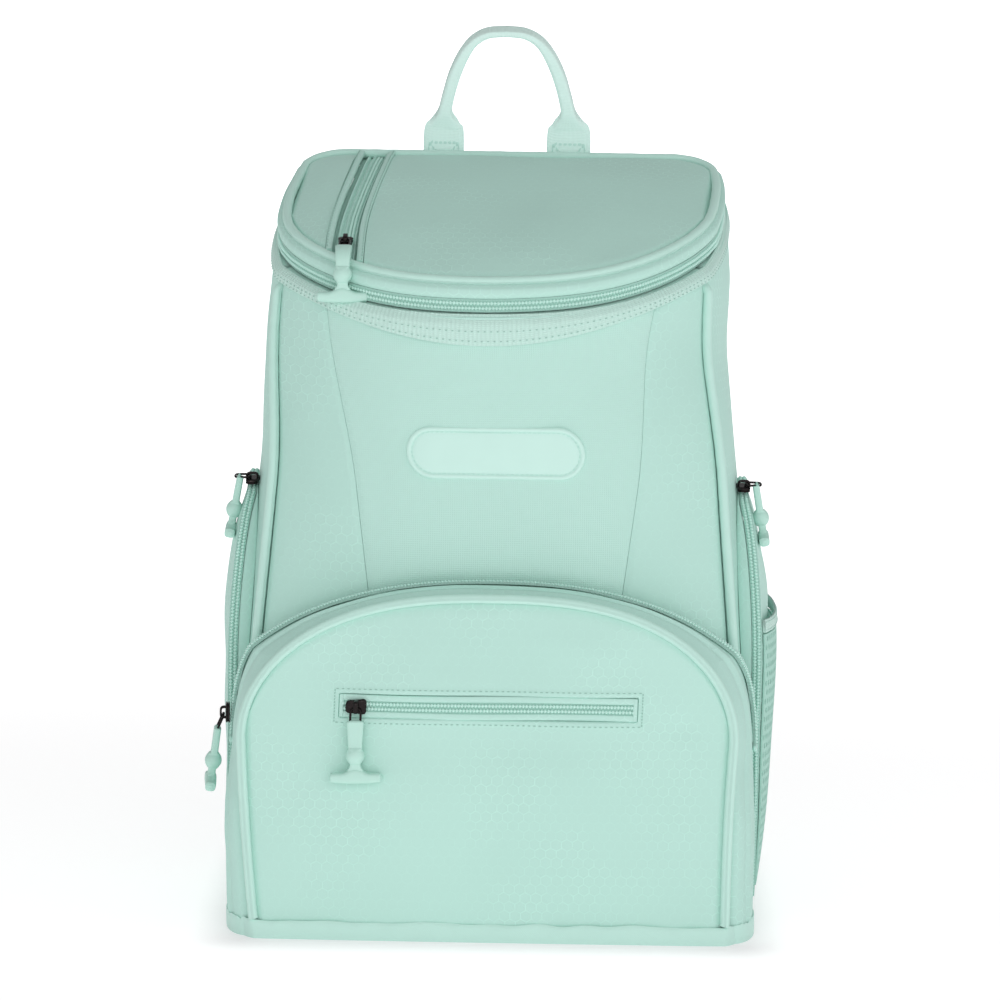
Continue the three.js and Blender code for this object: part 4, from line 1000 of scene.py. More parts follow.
def slip_zip():
    """The slip pocket's zip in its window: tape, coil and a folded lip above and below."""
    x = np.linspace(-SLIP_HALF + GAP, SLIP_HALF - GAP, 80)
    centre = face_point(x, SLIP_CENTRE + 0.25 * np.sin(x / 26.0), -1.9)
    face, lay = np.broadcast_to([0, -1.0, 0], centre.shape), np.broadcast_to([0, 0, 1.0], centre.shape)
    piece = Piece("slip_pocket_zip_coil")
    zip_run(piece, centre, lay, face, SLIP_HEIGHT - 2 * GAP)
    for side in (1, -1):
        fold = centre + lay * (side * 4.6) + face * 1.35
        fold = fold + lay * (0.18 * np.sin(x / 17.0 + side))[:, None]
        piece.loft(sweep(fold, lay, face, rounded(14, 1.75, 0.75, 3.0)), finish=2)
    for end in (-1, 1):
        rise = np.linspace(-SLIP_HEIGHT / 2 + 0.6, SLIP_HEIGHT / 2 - 0.6, 14)
        path = face_point(end * (SLIP_HALF - 1.2) + 0 * rise, SLIP_CENTRE + rise, -0.4)
        ways = np.broadcast_to([1.0, 0, 0], path.shape), np.broadcast_to([0, -1.0, 0], path.shape)
        piece.loft(sweep(path, *ways, rounded(12, 1.2, 0.9, 3.0)), finish=2)
    piece.build("zip", finishes("tape", "coil", "ripstop"), ("slip_pocket_zip",))


# Side pockets
def side_outline(p, grow=0.0):
    """A side pocket's outline as depth and height, and how far outside it."""
    y, z = arch_points(p, SIDE_HALF + grow, SIDE_FOOT - grow, SIDE_SHOULDER, SIDE_TOP + grow, 0.0)
    return SIDE_MIDDLE + y, z


def side_point(sign, y, z, out):
    """A point beside the body at a depth and height, out from the side wall."""
    front = plan_point(1.0, z)[..., 1]
    return body_point(sign * (1 + (y - front) / (BACK_DEPTH - CORNER - front)), z, out)


def pouch_rise(z):
    """How far the side pocket's edge stands off the body at a height."""
    return SIDE_BULGE * spline(POUCH_PLACE, POUCH_RISE, z / SIDE_TOP)


def pouch_point(sign, y, z, out):
    """The side pocket's face: at its edge's height off the body, crowned towards its middle."""
    over = np.clip(1 - ((y - SIDE_MIDDLE) / SIDE_HALF) ** 2, 0, 1)
    up = np.sin(np.pi * np.clip((z - SIDE_FOOT) / (SIDE_TOP - SIDE_FOOT), 0, 1))
    return side_point(sign, y, z, pouch_rise(z) - GAP + 0.8 * over * up + out)


def zip_foot(z):
    """Where the side pocket's gusset ends and its zip starts, off the body."""
    return np.maximum(GAP + 1, pouch_rise(z) - SIDE_ZIP_WIDTH)


def side_pockets():
    """On each side: an arched face, a narrow gusset that stands on the body, and a zip between them."""
    for hand, sign in HANDS:
        side_face(hand, sign)
        side_gusset(hand, sign)
        side_zip(hand, sign)


def side_face(hand, sign):
    """The arched face: rows that follow the arch, waved and rounded down to its edge."""
    cross = np.sin(np.linspace(-np.pi / 2, np.pi / 2, 90))[:, None]
    top = SIDE_SHOULDER + (SIDE_TOP - SIDE_SHOULDER - CLOTH) * np.sqrt(1 - np.abs(cross) ** 2.5)
    z = lerp(SIDE_FOOT + CLOTH, top, np.linspace(0, 1, 130)[None, :])
    y = SIDE_MIDDLE + cross * (SIDE_HALF - CLOTH) + 0 * z
    edge = np.minimum((1 - np.abs(cross)) * SIDE_HALF, np.minimum(top - z, z - SIDE_FOOT - CLOTH))
    out = ripple(y, z, 48.0, 1.3, 31 + int(sign)) * smooth(edge / 18) - 0.7 * bell(edge, 2.0)
    outer, inner = pouch_point(sign, y, z, out), pouch_point(sign, y, z, out - CLOTH)
    piece = Piece(f"side_pocket_panel_{hand}_cloth").wall(outer, inner, coords=np.stack([y, z], -1))
    made = piece.build("ripstop", finishes("ripstop"), (f"side_pocket_panel_{hand}",))


def side_gusset(hand, sign):
    """The band between the body and the zip, bulging by a sine across it."""
    p, t = np.linspace(0, 1, 300)[:, None], np.linspace(0, 1, 12)[None, :]
    faces = []
    for grow in (0.5 * np.sin(np.pi * t) ** 0.5 + 0 * p, -CLOTH + 0 * t + 0 * p):
        y, z = side_outline(p + 0 * t, grow)
        faces.append(side_point(sign, y, z, lerp(GAP, zip_foot(z), t)))
    piece = Piece(f"side_pocket_gusset_{hand}_cloth").wall(*faces)
    piece.build("ripstop", finishes("ripstop"), (f"side_pocket_gusset_{hand}",))


def side_zip(hand, sign):
    """The zip round the face's edge, upright off the body and facing outwards round the arch."""
    p = np.linspace(0, 1, 260)
    y, z = side_outline(p, 0.4 - 1.2)
    low, high = zip_foot(z) + GAP, pouch_rise(z)
    centre = side_point(sign, y, z, (low + high) / 2)
    lay = unit(side_point(sign, y, z, high) - side_point(sign, y, z, low))
    wide_y, wide_z = side_outline(p, 4.0)
    face = unit(side_point(sign, wide_y, wide_z, (low + high) / 2) - centre)
    face = unit(face - lay * (face * lay).sum(-1, keepdims=True))
    piece = Piece(f"side_pocket_zip_{hand}_coil")
    zip_run(piece, centre, lay, face, 5.2, thick=1.1, row=1.1, size=1.05, lift=0.3)
    piece.build("zip", finishes("tape", "coil"), (f"side_pocket_zip_{hand}",))


NET_INSET = 5.0
NET_TOP = 163.0
NET_CELL_WIDE = 3.4
NET_CELL_HIGH = 5.0


def mesh_point(c, v, out):
    """The net pocket's face, off the side pocket by a flat arch across times a sine over the height.

    It is held in at the foot and sides, and stands off most at two thirds of its height.
    """
    y = SIDE_MIDDLE + c * (SIDE_HALF - NET_INSET)
    z = lerp(SIDE_FOOT + NET_INSET, NET_TOP, v)
    swell = 4.0 * (1 - np.abs(c) ** 4) * np.abs(np.sin(np.pi * 0.72 * v)) ** 0.6
    return pouch_point(1.0, y, z, GAP + swell + out)


def net_cells(across, up):
    """Flat cells as places and faces: in each, a ring of quads between a rectangle and the oval hole in it.

    Odd rows start half a cell further on, and their last cell is half as wide.
    """
    row, column = (a.ravel() for a in np.meshgrid(np.arange(up), np.arange(across), indexing="ij"))
    odd = row % 2 == 1
    last = odd & (column == across - 1)
    a = np.where(last, across - 0.25, column + 0.5 + 0.5 * odd)
    half = np.where(last, 0.25, 0.5)
    b = row + 0.5
    corner = np.array([[1, 0], [1, 1], [0, 1], [-1, 1], [-1, 0], [-1, -1], [0, -1], [1, -1]])
    turn = np.arange(8) * np.pi / 4
    outer = np.stack([a[:, None] + corner[:, 0] * half[:, None], b[:, None] + corner[:, 1] * 0.5], -1)
    outer[odd & (column == 0), 3:6, 0] -= 0.5
    hole_x = a[:, None] + np.cos(turn) * 0.31 * half[:, None] * 2
    hole = np.stack([hole_x, b[:, None] + np.sin(turn) * 0.34], -1)
    k = np.arange(8)
    ring = np.stack([k, (k + 1) % 8, 8 + (k + 1) % 8, 8 + k], -1)
    faces = (ring[None] + np.arange(len(a))[:, None, None] * 16).reshape(-1, 4)
    flat = np.concatenate([outer, hole], 1).reshape(-1, 2)
    kept, index = np.unique(np.round(flat * 64).astype(int), axis=0, return_inverse=True)
    return kept / 64, index.reshape(-1)[faces]


def open_edges(faces):
    """The edges that only one face has."""
    edges = np.concatenate([faces[:, [0, 1]], faces[:, [1, 2]], faces[:, [2, 3]], faces[:, [3, 0]]])
    _, place, number = np.unique(np.sort(edges, 1), axis=0, return_inverse=True, return_counts=True)
    return edges[number[place.reshape(-1)] == 1]


def net_pocket():
    """Knitted net: flat cells carried onto the pocket's face twice, with walls between their open edges."""
    across, up = int(2 * (SIDE_HALF - NET_INSET) / NET_CELL_WIDE), int(140.0 / NET_CELL_HIGH)
    places, faces = net_cells(across, up)
    c, v = places[:, 0] / across * 2 - 1, places[:, 1] / up * 0.965
    points = np.concatenate([mesh_point(c, v, 1.2), mesh_point(c, v, 0.35)])
    count, rim = len(places), open_edges(faces)
    walls = np.stack([rim[:, 1], rim[:, 0], rim[:, 0] + count, rim[:, 1] + count], -1)
    whole = np.concatenate([faces, faces[:, ::-1] + count, walls])
    coords = np.stack([c * 50, v * 140], -1)
    piece = Piece("mesh_pocket_net")
    piece.add(points, turned_out(points, whole), np.concatenate([coords, coords]))
    made = piece.build("net", finishes("net"), ("mesh_pocket",), sharp=70.0)


def net_hem():
    """The webbing over the net's top edge, a flat sweep with two stitch rows."""
    hem = np.linspace(-1, 1, 90)
    centre = mesh_point(hem, np.full(90, 0.996), 0.9)
    lay = unit(mesh_point(hem, np.full(90, 1.02), 0.9) - centre)
    face = unit(mesh_point(hem, np.full(90, 0.996), 2.0) - centre)
    size = 1 + 0.03 * np.sin(np.arange(90) * 0.8)
    piece = Piece("mesh_hem_tape").loft(sweep(centre, lay, face, rounded(12, 3.6, 0.9, 4.0), size))
    for side in (-2.2, 2.2):
        stitches(piece, centre + lay * side + face * 0.75, face, 2.8, 1.7, 0.28)
    piece.build("webbing", finishes("webbing", "thread"), ("mesh_hem",))


# Base
FACE_SHARE = 0.36


def base_point(s, out, z):
    """A place round the foot: the face's, then the gusset's, then the body's sides, moved out level.

    It runs from -2, the left back corner, over 0 at the front's middle to 2. The face ends at its share.
    """
    s, out, z = np.broadcast_arrays(np.asarray(s, float), np.asarray(out, float), np.asarray(z, float))
    sign, u = np.where(s < 0, -1.0, 1.0), np.abs(s)
    corner = gusset_point(0.0, 0.0, 0.0)
    x = sign * abs(corner[0]) * u / FACE_SHARE
    front = face_point(x, WALL_FOOT + 0 * x, out)
    t = np.clip((u - FACE_SHARE) / (1 - FACE_SHARE), 0, 1)
    p = np.where(sign < 0, 0.0, 1.0)
    q = gusset_point(p, t, 0.0)
    d = gusset_point(p, np.minimum(1, t + 0.02), 0.0) - gusset_point(p, np.maximum(0, t - 0.02), 0.0)
    normal = unit(np.stack([d[..., 1], -d[..., 0], 0 * t], -1)) * sign[..., None]
    foot_y = face_point(corner[0], WALL_FOOT)[1]
    side = q + normal * out[..., None]
    side[..., 1] += (foot_y - q[..., 1]) * np.maximum(0, 1 - t * 8)
    body = body_point(sign * lerp(1.2, 3.0, u - 1), WALL_FOOT, out)
    made = np.where((u <= FACE_SHARE)[..., None], front, np.where((u <= 1)[..., None], side, body))
    made[..., 2] = z
    return made


def base():
    """The board, and the binding turned up round its edge, which puckers along its top."""
    half = np.concatenate([np.linspace(FACE_SHARE, 1, 60)[1:], np.linspace(1, 2, 80)[1:]])
    s = np.concatenate([-half[::-1], np.linspace(-FACE_SHARE, FACE_SHARE, 150), half])
    layers = (0, 1.5), (0.5, 0.4), (1.5, 0), (5.0, 0), (6.0, 0.4)
    board = np.stack([base_point(s, -0.5 - inset, z) for z, inset in layers])
    Piece("base_panel_board").loft(board).build("ripstop", finishes("ripstop"), ("base_panel",))
    rows = np.linspace(0, 1, 12)[None, :]
    pucker = ripple(s[:, None] * 260, 4 * rows, 13.0, 1.4, 41) * smooth((rows - 0.35) / 0.65)
    swell = 0.5 * np.sin(np.pi * rows) ** 0.6 - 0.5 * smooth((rows - 0.85) / 0.15)
    z = 10.0 * rows + ripple(s[:, None] * 260, 0 * rows, 21.0, 1.1, 43) * smooth((rows - 0.5) * 2)
    near = 1 - 0.75 * smooth((np.abs(s[:, None]) - 0.3) / 0.15)
    outer = base_point(s[:, None], 0.6 + (1.3 + swell + pucker * 0.6) * near, z)
    inner = base_point(s[:, None], 0.2 + 0 * z, z)
    piece = Piece("base_binding_tape").wall(outer, inner)
    piece.build("binding", finishes("binding"), ("base_binding",))


# Lid
def lid_edges():
    """The panel's half width, and its front and back edge as points in order over its width."""
    p = lid_point(np.linspace(-4, 4, 2001), LID_INSET + TUCK, 0.0)
    side = p[:, 0].max() - 0.4
    front, back = p[p[:, 1] <= SIDE_MIDDLE], p[p[:, 1] > SIDE_MIDDLE]
    return side, front[np.argsort(front[:, 0])], back[np.argsort(back[:, 0])]


LID_SIDE, LID_FRONT_EDGE, LID_BACK_EDGE = lid_edges()
LID_BAND = 6.5
LID_WELT = 4.0
LID_UP = [0, -0.35, 0.94]


def edge_y(x, back=False):
    """Depth of the panel's front or back edge at a place across it."""
    edge = LID_BACK_EDGE if back else LID_FRONT_EDGE
    return np.interp(np.clip(x, -LID_SIDE, LID_SIDE), edge[:, 0], edge[:, 1])


def lid_zip_x(y):
    """The lid pocket's zip runs back from the front, and bends to the right by a square."""
    return -78.0 + 6.0 * np.clip((y + 20.0) / (BACK_DEPTH + 20.0), 0, 1) ** 2


def lid_top(x, y, out=0.0):
    """The lid's top: on the sloping plane, crowned away from its edges."""
    front, back = edge_y(x), edge_y(x, True)
    v = np.clip((y - front) / (back - front), 0, 1)
    crown = 7.0 * (1 - np.abs(x / LID_SIDE) ** 3) * (1 - np.abs(2 * v - 1) ** 3)
    return point(x, y, rim_plane(y) + PIPE_ABOVE + 1.6 + crown + out)


def lid_grid(near_x, far_x, spread, columns, rows):
    """Places between two side edges and the lid's front and back edge, found by repeated steps."""
    c = spread(np.linspace(0, 1, columns))[:, None]
    v = 0.5 - 0.5 * np.cos(np.linspace(0, np.pi, rows))[None, :]
    y = np.full((columns, rows), SIDE_MIDDLE)
    for _ in range(6):
        x = lerp(near_x(y), far_x(y), c)
        y = lerp(edge_y(x), edge_y(x, True), v)
    return x, y, v


def lid_panels():
    """The two stiff panels, crowned, with soft waves.

    Their edges are rolled down to the piping by a bell curve, and a shallow dip crosses them at the back.
    """
    beside, quarter = LID_BAND + LID_WELT + GAP, np.pi / 2
    panels = (
        ("main", lambda y: lid_zip_x(y) + beside, lambda y: LID_SIDE, lambda c: np.sin(c * quarter), 150),
        ("left", lambda y: -LID_SIDE, lambda y: lid_zip_x(y) - beside, lambda c: 1 - np.cos(c * quarter), 50),
    )
    for part, near_x, far_x, spread, columns in panels:
        x, y, v = lid_grid(near_x, far_x, spread, columns, 150)
        depth = edge_y(x, True) - edge_y(x)
        edge = np.minimum(np.minimum(v, 1 - v) * depth, LID_SIDE - np.abs(x))
        groove = 1.8 + 1.4 * smooth((np.abs(x) - 70.0) / 30.0)
        out = ripple(x, y, 85.0, 1.5, 51) * smooth(edge / 20) - groove * bell(edge, 2.2)
        out = out - bell(y - 84.0, 7.0) * (0.5 + 0.5 * np.sin(x / 16.0)) * smooth(edge / 6)
        outer, inner = lid_top(x, y, out), lid_top(x, y, -6.0)
        piece = Piece(f"lid_panel_{part}_cloth").wall(outer, inner, coords=np.stack([x, y], -1))
        made = piece.build("ripstop", finishes("ripstop"), (f"lid_panel_{part}",))


def lid_run(offset, out, count=120):
    """A line along the lid's pocket zip, at an offset beside it, from the front edge to the back."""
    v = np.linspace(0, 1, count)
    y = np.zeros(count)
    for _ in range(5):
        x = lid_zip_x(y) + offset
        y = lerp(edge_y(x), edge_y(x, True), v)
    return lid_top(x, y, out)


def lid_zip():
    """The lid pocket's opening: a folded strip on each side, stitched down.

    Between them the sunk band has three bell-shaped pleats, and the zip lies between two of them.
    """
    for hand, sign in HANDS:
        path = lid_run(sign * (LID_BAND + LID_WELT / 2 + GAP / 2), -0.5)
        _, across, up = frames(path, LID_UP)
        ring = rounded(16, LID_WELT / 2 - 0.12, 1.5, 3.2)
        piece = Piece(f"lid_zip_welt_{hand}_fold").loft(sweep(path, across, up, ring))
        stitches(piece, lid_run(sign * (LID_BAND + LID_WELT - 0.7), 1.15), up[0], 3.0, 1.9, 0.32)
        piece.build("ripstop", finishes("ripstop", "thread"), (f"lid_zip_welt_{hand}",))
    s = np.linspace(-LID_BAND - 1.6, LID_BAND + 1.6, 54)
    ridges = ((-4.4, 1.0, 2.4), (-0.9, 1.0, 3.0), (5.2, 0.8, 2.6))
    profile = -4.4 + sum(high * bell(s - place, wide) for place, wide, high in ridges)
    outer = np.stack([lid_run(a, h) for a, h in zip(s, profile)], 1)
    inner = np.stack([lid_run(a, -7.0) for a in s], 1)
    piece = Piece("lid_pocket_zip_coil").wall(outer, inner, finish=2)
    centre = lid_run(2.2, -4.3, 100)[1:-1]
    _, across, up = frames(centre, LID_UP)
    zip_run(piece, centre, across, up, 5.0, thick=1.0, row=0.9, size=0.85)
    piece.build("zip", finishes("tape", "coil", "ripstop"), ("lid_pocket_zip",))


ZIP_END = 3.2
ZIP_MARGIN = 0.06
BAND_INSET = 1.8
MAIN_ZIP_INSET = 3.0
COLLAR_FRONT = 15.4
COLLAR_SIDE = 6.0


def lid_piping():
    """The covered cord round the lid, a sweep with a faint ripple in its size."""
    u = np.linspace(-4, 4, 521)[:-1]
    path = evened(lid_point(u, LID_INSET, PIPE_ABOVE), 1.5, closed=True)[0]
    _, across, up = frames(path, LID_UP, closed=True)
    size = 1 + 0.02 * np.sin(np.arange(len(path)) * 2 * np.pi * 60 / len(path))
    rings = sweep(path, across, up, rounded(14, PIPE, PIPE, 2.1), size)
    piece = Piece("lid_piping_tape").loft(rings, closed=True)
    piece.build("binding", finishes("binding"), ("lid_piping",))


def lid_gusset():
    """The band under the piping: swollen by a sine between its edges, and lower where the zip has ended."""
    behind = np.linspace(ZIP_END + ZIP_MARGIN, 4, 30)
    u = np.concatenate([-behind[::-1], np.linspace(-ZIP_END, ZIP_END, 420), behind[:-1]])[:, None]
    foot = GAP + np.where(np.abs(u) < ZIP_END + ZIP_MARGIN, ZIP_WIDTH, 0.0)
    t = np.linspace(0, 1, 16)[None, :]
    swell = 1.3 * np.sin(np.pi * t) ** 0.7 + ripple(u * 150, t * 9, 40.0, 0.5, 61) * np.sin(np.pi * t)
    above = lerp(foot, LID_FOOT + PIPE * 0.8, t)
    outer = lid_point(u + 0 * t, BAND_INSET - swell + 1.6 * smooth((t - 0.8) / 0.2), above)
    inner = lid_point(u + 0 * t, BAND_INSET + CLOTH, above)
    piece = Piece("lid_gusset_cloth").wall(outer, inner, closed=True)
    piece.build("ripstop", finishes("ripstop"), ("lid_gusset",))


def main_zip():
    """The long zip between the collar and the band, upright along the rim."""
    u = np.linspace(-ZIP_END + ZIP_MARGIN / 2, ZIP_END - ZIP_MARGIN / 2, 420)
    centre = lid_point(u, MAIN_ZIP_INSET, ZIP_WIDTH / 2)
    lay = unit(lid_point(u, MAIN_ZIP_INSET, ZIP_WIDTH / 2 + 2.0) - centre)
    face = unit(lid_point(u, MAIN_ZIP_INSET - 2.0, ZIP_WIDTH / 2) - centre)
    face = unit(face - lay * (face * lay).sum(-1, keepdims=True))
    piece = Piece("main_zip_coil")
    zip_run(piece, centre, lay, face, ZIP_WIDTH - 2 * GAP)
    piece.build("zip", finishes("tape", "coil"), ("main_zip",))


def collar():
    """The ribbed band below the main zip: deeper in front, rolled in at its top, with two stitch rows."""
    u, t = np.linspace(-3, 3, 500)[:, None], np.linspace(0, 1, 14)[None, :]
    drop = lerp(COLLAR_FRONT, COLLAR_SIDE, smooth(np.abs(u) / 0.9))

    def band(t, out):
        """From the drop's foot (0) to the rim (1), off the wall, less at the sides and the rolled top."""
        z = rim_z(u) - 2 * GAP - drop * (1 - t)
        rolled = smooth((t - 0.72) / 0.28)
        out = out - smooth((np.abs(u) - 0.9) / 0.5) - 2.6 * rolled
        return body_point(u + 0 * t, z + 1.3 * rolled, out)

    outer = band(t, 2.1 + 0.35 * np.sin(np.pi * t) ** 0.5)
    piece = Piece("collar_webbing_band").wall(outer, band(t, 1.1 + 0 * t))
    for height in (0.16, 0.5):
        path = band(np.array([[height]]), np.array([[2.55]]))[:, 0]
        stitches(piece, path, outward(u[:, 0], RIM), 3.4, 1.1, 0.3)
    piece.build("webbing", finishes("webbing", "thread"), ("collar_webbing",))


PATCH_HEIGHT = 261.0
PATCH_HALF = 47.5
PATCH_HIGH = 14.2
PATCH_SEAM = 3.1


def patch():
    """A bare pill-shaped patch: a raised rim, a stitched groove inside it and a flat field.

    Its rings are half circles moved apart, each drawn in further and lifted by the profile.
    """
    turn = np.linspace(0, 2 * np.pi, 181)[:-1]
    inset = np.array([0.0, 0.25, 0.6, 1.2, 1.8, 2.3, 2.7, 3.1, 3.5, 4.2, 5.5, 8.0, 11.0, 13.2])
    lift = np.array([0.2, 1.0, 1.6, 1.95, 2.0, 1.9, 1.5, 1.25, 1.35, 1.6, 1.7, 1.72, 1.75, 1.75])

    def pill(inset, out):
        """The patch's outline drawn in by a length, off the wall."""
        radius = PATCH_HIGH - inset
        x = np.sign(np.cos(turn)) * (PATCH_HALF - PATCH_HIGH) + radius * np.cos(turn)
        z = PATCH_HEIGHT + radius * np.sin(turn)
        return body_point(x / plan_point(1.0, z)[..., 0], z, GAP + out + 0 * x)

    rings = np.concatenate([pill(inset[:1, None], 0.0), pill(inset[:, None], lift[:, None])])
    piece = Piece("label_patch_plate").loft(rings, coords=rings[..., [0, 2]])
    seam = pill(PATCH_SEAM, 1.3)
    seam = np.concatenate([seam, seam[:1]])
    stitches(piece, seam, np.array([0, -1.0, 0.0]), 2.6, 1.7, 0.3, sink=0.0)
    piece.build("patch", finishes("patch", "pale_thread"), ("label_patch",))


# Grab handle
HANDLE_SPAN = 70.0
HANDLE_RISE = 70.0
TAB = 23.0
HANDLE_FOOT = float(rim_z(4.0)) + LID_FOOT
HANDLE_Y = BACK_DEPTH + GAP + 1.2
# Each row, from a foot to the top: place across, rise, half width and half thickness
HANDLE_ROWS = np.array([
    [1.0, -0.22, 0.5, 0.05], [1.0, 0.16, 0.5, 0.05], [0.995, 0.25, 0.36, 0.09], [0.985, 0.34, 0.18, 0.17],
    [0.94, 0.46, 0.15, 0.2], [0.84, 0.64, 0.145, 0.21], [0.7, 0.8, 0.13, 0.23], [0.53, 0.92, 0.105, 0.24],
    [0.3, 0.985, 0.09, 0.25], [0.0, 1.0, 0.085, 0.25],
])


def grab_handle():
    """A webbing loop: flat tabs sewn to the back, folded together into a thick grip.

    Its path and section are splines through the rows, mirrored, and each tab has a sewn square.
    """

    def mirrored(values, sign=1):
        """Values up to the middle, then the same back down, with the other sign if asked."""
        return np.concatenate([values, sign * values[-2::-1]])

    keys = np.arange(10.0)
    at = np.linspace(0, 9, 110)
    across, rise, half, deep = (spline(keys, HANDLE_ROWS[:, k], at) for k in range(4))
    across, rise, half = mirrored(across, -1), mirrored(rise), mirrored(half) * TAB
    deep = np.maximum(mirrored(deep) * TAB, 1.0)
    path = point(-across * HANDLE_SPAN / 2, HANDLE_Y - 0.2 * (deep - 1.0), HANDLE_FOOT + rise * HANDLE_RISE)
    _, wide, high = frames(path, [0, 1.0, 0])
    folded = smooth((mirrored(at) - 2.0) / 2.0)
    ring = rounded(28, 1.0, 1.0, 3.4)
    angle = np.arctan2(ring[:, 1], ring[:, 0])
    crease = 1 - 0.16 * folded[:, None] * bell(np.abs(angle)[None, :] - np.pi / 2, 0.22)
    halves = np.stack([np.broadcast_to(half[:, None], crease.shape), deep[:, None] * crease], -1)
    section = ring[None] * halves
    piece = Piece("grab_handle_webbing").loft(sweep(path, wide, high, section))
    for side in (-1.0, 1.0):
        x = side * HANDLE_SPAN / 2
        corners = np.array([[-8.5, -0.19], [8.5, -0.19], [8.5, 0.1], [-8.5, 0.1], [-8.5, -0.19]])
        for lines in (corners, corners[[0, 2]], corners[[1, 3]]):
            for y, facing in ((HANDLE_Y - 1.05, -1.0), (HANDLE_Y + 1.05, 1.0)):
                line = point(x + lines[:, 0], y, HANDLE_FOOT + lines[:, 1] * HANDLE_RISE)
                stitches(piece, line, np.array([0, facing, 0]), 2.6, 1.8, 0.3)
    piece.build("webbing", finishes("handle_webbing", "pale_thread"), ("grab_handle",))


# Shoulder straps
STRAP_BACK = BACK_DEPTH + GAP + 5.5
STRAP_LOW = 152.0
STRAP_TOP = 388.0
STRAP_HALF = 30.0
STRAP_BOW = 26.0
STRAP_TOP_X = 52.0
STRAP_LOW_X = 82.0
STRAP_THICK = 4.6
ANCHOR_X = 104.0
# Each row, from the top to the lower end: height, bow, width and how far aside
STRAP_ROWS = np.array([
    [1.0, 0.0, 0.92, 0.0], [0.9, 0.28, 1.0, -0.04], [0.75, 0.78, 1.04, 0.0], [0.55, 1.0, 1.0, 0.2],
    [0.35, 0.8, 0.94, 0.52], [0.15, 0.4, 0.86, 0.85], [0.0, 0.2, 0.72, 1.0],
])
BUCKLE_Y = STRAP_BACK + 0.2 * STRAP_BOW
BUCKLE_MIDDLE = STRAP_LOW - 15.5
BUCKLE_HALF = 15.0


def strap_line(sign, t):
    """The strap's middle line and half width from its top (0) to its lower end (1)."""
    height, bow, width, aside = (spline(np.arange(7.0), STRAP_ROWS[:, k], t * 6) for k in range(4))
    x = sign * lerp(STRAP_TOP_X, STRAP_LOW_X, aside)
    return point(x, STRAP_BACK + bow * STRAP_BOW, lerp(STRAP_LOW, STRAP_TOP, height)), width * STRAP_HALF


def straps():
    """Each strap: a padded board blown up as cloth, bound round its edge and sewn beside the binding."""
    for hand, sign in HANDS:
        t = np.linspace(0, 1, 120)
        path, half = strap_line(sign, t)
        _, wide, thick = frames(path, [0, 1.0, 0])
        ring = rounded(44, 1.0, 1.0, 2.6)
        end = tapered_ends(120, 0.035, 0.72)
        halves = np.stack([half * end - 1.4, STRAP_THICK * tapered_ends(120, 0.03, 0.5)], -1)
        section = ring[None] * halves[:, None]
        run = (t * 250)[:, None] + 0 * ring[None, :, 0]
        coords = np.stack([section[..., 0], run], -1)
        made = Piece(f"shoulder_strap_{hand}_pad").loft(sweep(path, wide, thick, section), coords=coords)
        made = made.build("foam", finishes("foam"), (f"shoulder_strap_{hand}",))
        inflate(made, 4.0, 1.2, [0, 2])
        edge = half * end - 0.6
        loop = np.concatenate([path + wide * edge[:, None], (path - wide * edge[:, None])[::-1]])
        facing = np.concatenate([thick, thick[::-1]])
        loop, facing = evened(loop, 2.0, facing, closed=True)
        _, outside, up = frames(loop, facing, closed=True)
        rings = sweep(loop, outside, up, rounded(14, 1.9, 3.3, 2.6))
        piece = Piece(f"strap_binding_{hand}_tape").loft(rings, closed=True)
        for side in (1.0, -1.0):
            row = loop - outside * 3.6 * np.sign((outside * (loop - path.mean(0))).sum(-1).mean())
            row = row + up * (side * STRAP_THICK)
            stitches(piece, row, up * side, 3.2, 2.0, 0.3)
        piece.build("binding", finishes("binding", "pale_thread"))


def strap_buckle(hand, sign):
    """A ladder buckle: a frame swept round a rounded rectangle, and a bar across its middle."""
    c, s = circle(64)
    x = sign * STRAP_LOW_X
    outline = point(x + BUCKLE_HALF * bent(c, 0.35), BUCKLE_Y, BUCKLE_MIDDLE + 10.0 * bent(s, 0.35))
    _, across, up = frames(outline, [0, 1.0, 0], closed=True)
    rings = sweep(outline, across, up, rounded(12, 2.0, 2.0, 3.4))
    piece = Piece(f"strap_buckle_{hand}_frame").loft(rings, closed=True)
    bar = point(x + np.linspace(-BUCKLE_HALF, BUCKLE_HALF, 9), BUCKLE_Y, BUCKLE_MIDDLE)
    ways = np.broadcast_to([0, 0, 1.0], bar.shape), np.broadcast_to([0, 1.0, 0], bar.shape)
    piece.loft(sweep(bar, *ways, rounded(12, 1.9, 1.5, 3.0)))
    piece.build("plastic", finishes("buckle"), (f"strap_buckle_{hand}",))


